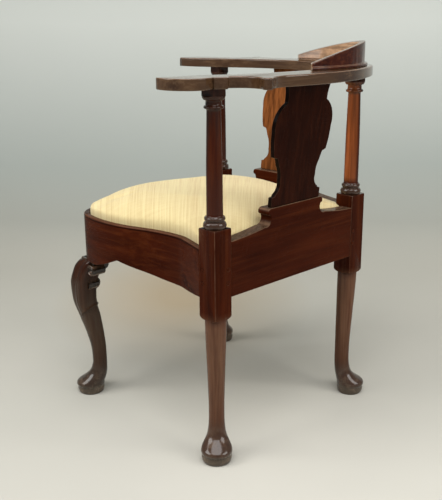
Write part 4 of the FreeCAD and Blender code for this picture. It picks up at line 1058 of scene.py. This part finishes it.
def studio_paper():
    """Mottled paper, seen through from behind, that dies away towards its edges."""
    material, w, shader, coords = start_material("Studio_paper")
    spot = coords.outputs["Object"]
    place = w.split(spot)
    mottle = w.ramp(w.noise(spot, 1.6, 3.0, 0.5, 0.2), 0.3, 0.7, 0.0, 0.03)
    rise = w.total(place["Z"], mottle)
    # Painted light: the floor is painted darker with distance
    paper = w.mix(w.ramp(w.total(place["X"], mottle), 0.45, -0.9), FLOOR_NEAR, FLOOR_FAR)
    # Painted shadow of the chair, warm with bounce light, on the floor behind the legs
    patch = w.add("VectorMath", operation="LENGTH")
    shift = [-middle / size for middle, size in zip(PATCH_MIDDLE, PATCH_SIZE)]
    w.join(w.scaled(spot, [1 / size for size in PATCH_SIZE] + [1], location=shift + [0]), patch.inputs[0])
    paper = w.mix(w.ramp(patch.outputs["Value"], 0.2, 1.1, 0.90, 0.0), paper, FLOOR_PATCH)
    # Painted light: the wall is painted darker at its foot and lighter higher up
    for low, high, color in ((0.0, 0.10, WALL_FOOT), (0.10, 0.25, WALL_LOW), (0.25, 0.80, WALL_HIGH)):
        paper = w.mix(w.ramp(rise, low, high), paper, color)
    # Painted light: the paper is painted brighter towards +Y
    paper = w.brightened(paper, w.ramp(place["Y"], -1.0, 1.0, 0.95, 1.10))
    w.join(paper, shader.inputs["Base Color"])
    shader.inputs["Roughness"].default_value = 0.85
    shader.inputs["Specular IOR Level"].default_value = 0.2
    output = shader.outputs[0].links[0].to_socket
    edge = w.greatest(w.add("NewGeometry").outputs["Backfacing"],
                      w.ramp(w.math("ABSOLUTE", place["Y"]), *EDGE_FADE), w.ramp(place["X"], *EDGE_FADE))
    w.join(shown_or(w, edge, shader, w.add("BsdfTransparent")), output)
    return material


def studio_sweep():
    """Pale floor that curves up into a backdrop far behind the chair."""
    profile = [(SWEEP_FRONT, 0.0), (SWEEP_BACK + SWEEP_RADIUS, 0.0)]
    for step in range(1, SWEEP_STEPS + 1):
        angle = math.radians(90) * step / SWEEP_STEPS
        away, up = 1 - math.sin(angle), 1 - math.cos(angle)
        profile.append((SWEEP_BACK + SWEEP_RADIUS * away, SWEEP_RADIUS * up))
    profile.append((SWEEP_BACK, SWEEP_TOP))
    vertices = [(x, y, z) for x, z in profile for y in (-SWEEP_HALF, SWEEP_HALF)]
    faces = [(a, a + 1, a + 3, a + 2) for a in range(0, len(vertices) - 2, 2)]
    obj = mesh_object("Studio_sweep", vertices, faces)
    obj.data.shade_smooth()
    obj.data.materials.append(studio_paper())


LAMP_TARGET = (0, 0, 0.4)


def lamp(name, place, size, power, color=(1, 1, 1)):
    """Square lamp, its side in metres and its power in watts, aimed at the seat."""
    data = bpy.data.lights.new(name, "AREA")
    data.shape = "SQUARE"
    data.size = size
    data.energy = power
    data.color = color
    obj = link(bpy.data.objects.new(name, data))
    obj.location = place
    look = Vector(LAMP_TARGET) - Vector(place)
    obj.rotation_euler = look.to_track_quat("-Z", "Y").to_euler()


# The camera as solved from the photo: turns in radians, place in metres, lens in mm on a 36 mm sensor
CAMERA_YAW = 0.017955684
CAMERA_PITCH = 0.29207133712
CAMERA_ROLL = -0.0073117953
CAMERA_PLACE = (1.63794, 0.03507 + SHIFT, 0.82543)
CAMERA_LENS = 56.884


def photo_camera():
    level_share = math.cos(CAMERA_PITCH)
    ahead = Vector((-math.cos(CAMERA_YAW) * level_share, -math.sin(CAMERA_YAW) * level_share,
                    -math.sin(CAMERA_PITCH)))
    level = ahead.cross(Vector((0, 0, 1))).normalized()
    upright = level.cross(ahead)
    right = level * math.cos(CAMERA_ROLL) + upright * math.sin(CAMERA_ROLL)
    up = -level * math.sin(CAMERA_ROLL) + upright * math.cos(CAMERA_ROLL)
    data = bpy.data.cameras.new("Photo_camera")
    data.sensor_width = 36
    data.lens = CAMERA_LENS
    data.clip_start = 0.05
    obj = link(bpy.data.objects.new("Photo_camera", data))
    turn = Matrix((right, up, -ahead)).transposed()
    obj.matrix_world = Matrix.Translation(CAMERA_PLACE) @ turn.to_4x4()
    bpy.context.scene.camera = obj


def world_light():
    """Weak even light, which the camera sees in the colour of the paper."""
    world = bpy.data.worlds.new("Studio")
    world.use_nodes = True
    bpy.context.scene.world = world
    world.node_tree.nodes.clear()
    w = Wiring(world.node_tree)
    light, seen = w.add("Background"), w.add("Background")
    light.inputs["Color"].default_value = (0.93, 0.97, 1.0, 1)
    light.inputs["Strength"].default_value = 0.26
    seen.inputs["Color"].default_value = (0.56, 0.58, 0.55, 1)
    direct = w.add("LightPath").outputs["Is Camera Ray"]
    w.join(shown_or(w, direct, light, seen), w.add("OutputWorld").inputs["Surface"])


studio_sweep()
world_light()
lamp("Left_window", (0.9, -2.3, 2.1), 1.7, 52, (1.0, 0.99, 0.96))
lamp("Overhead", (1.05, -0.05, 2.7), 2.2, 64)
lamp("Right_window", (1.2, 2.3, 1.9), 1.6, 40, (1.0, 0.99, 0.96))
photo_camera()
bpy.context.scene.view_settings.view_transform = "Standard"
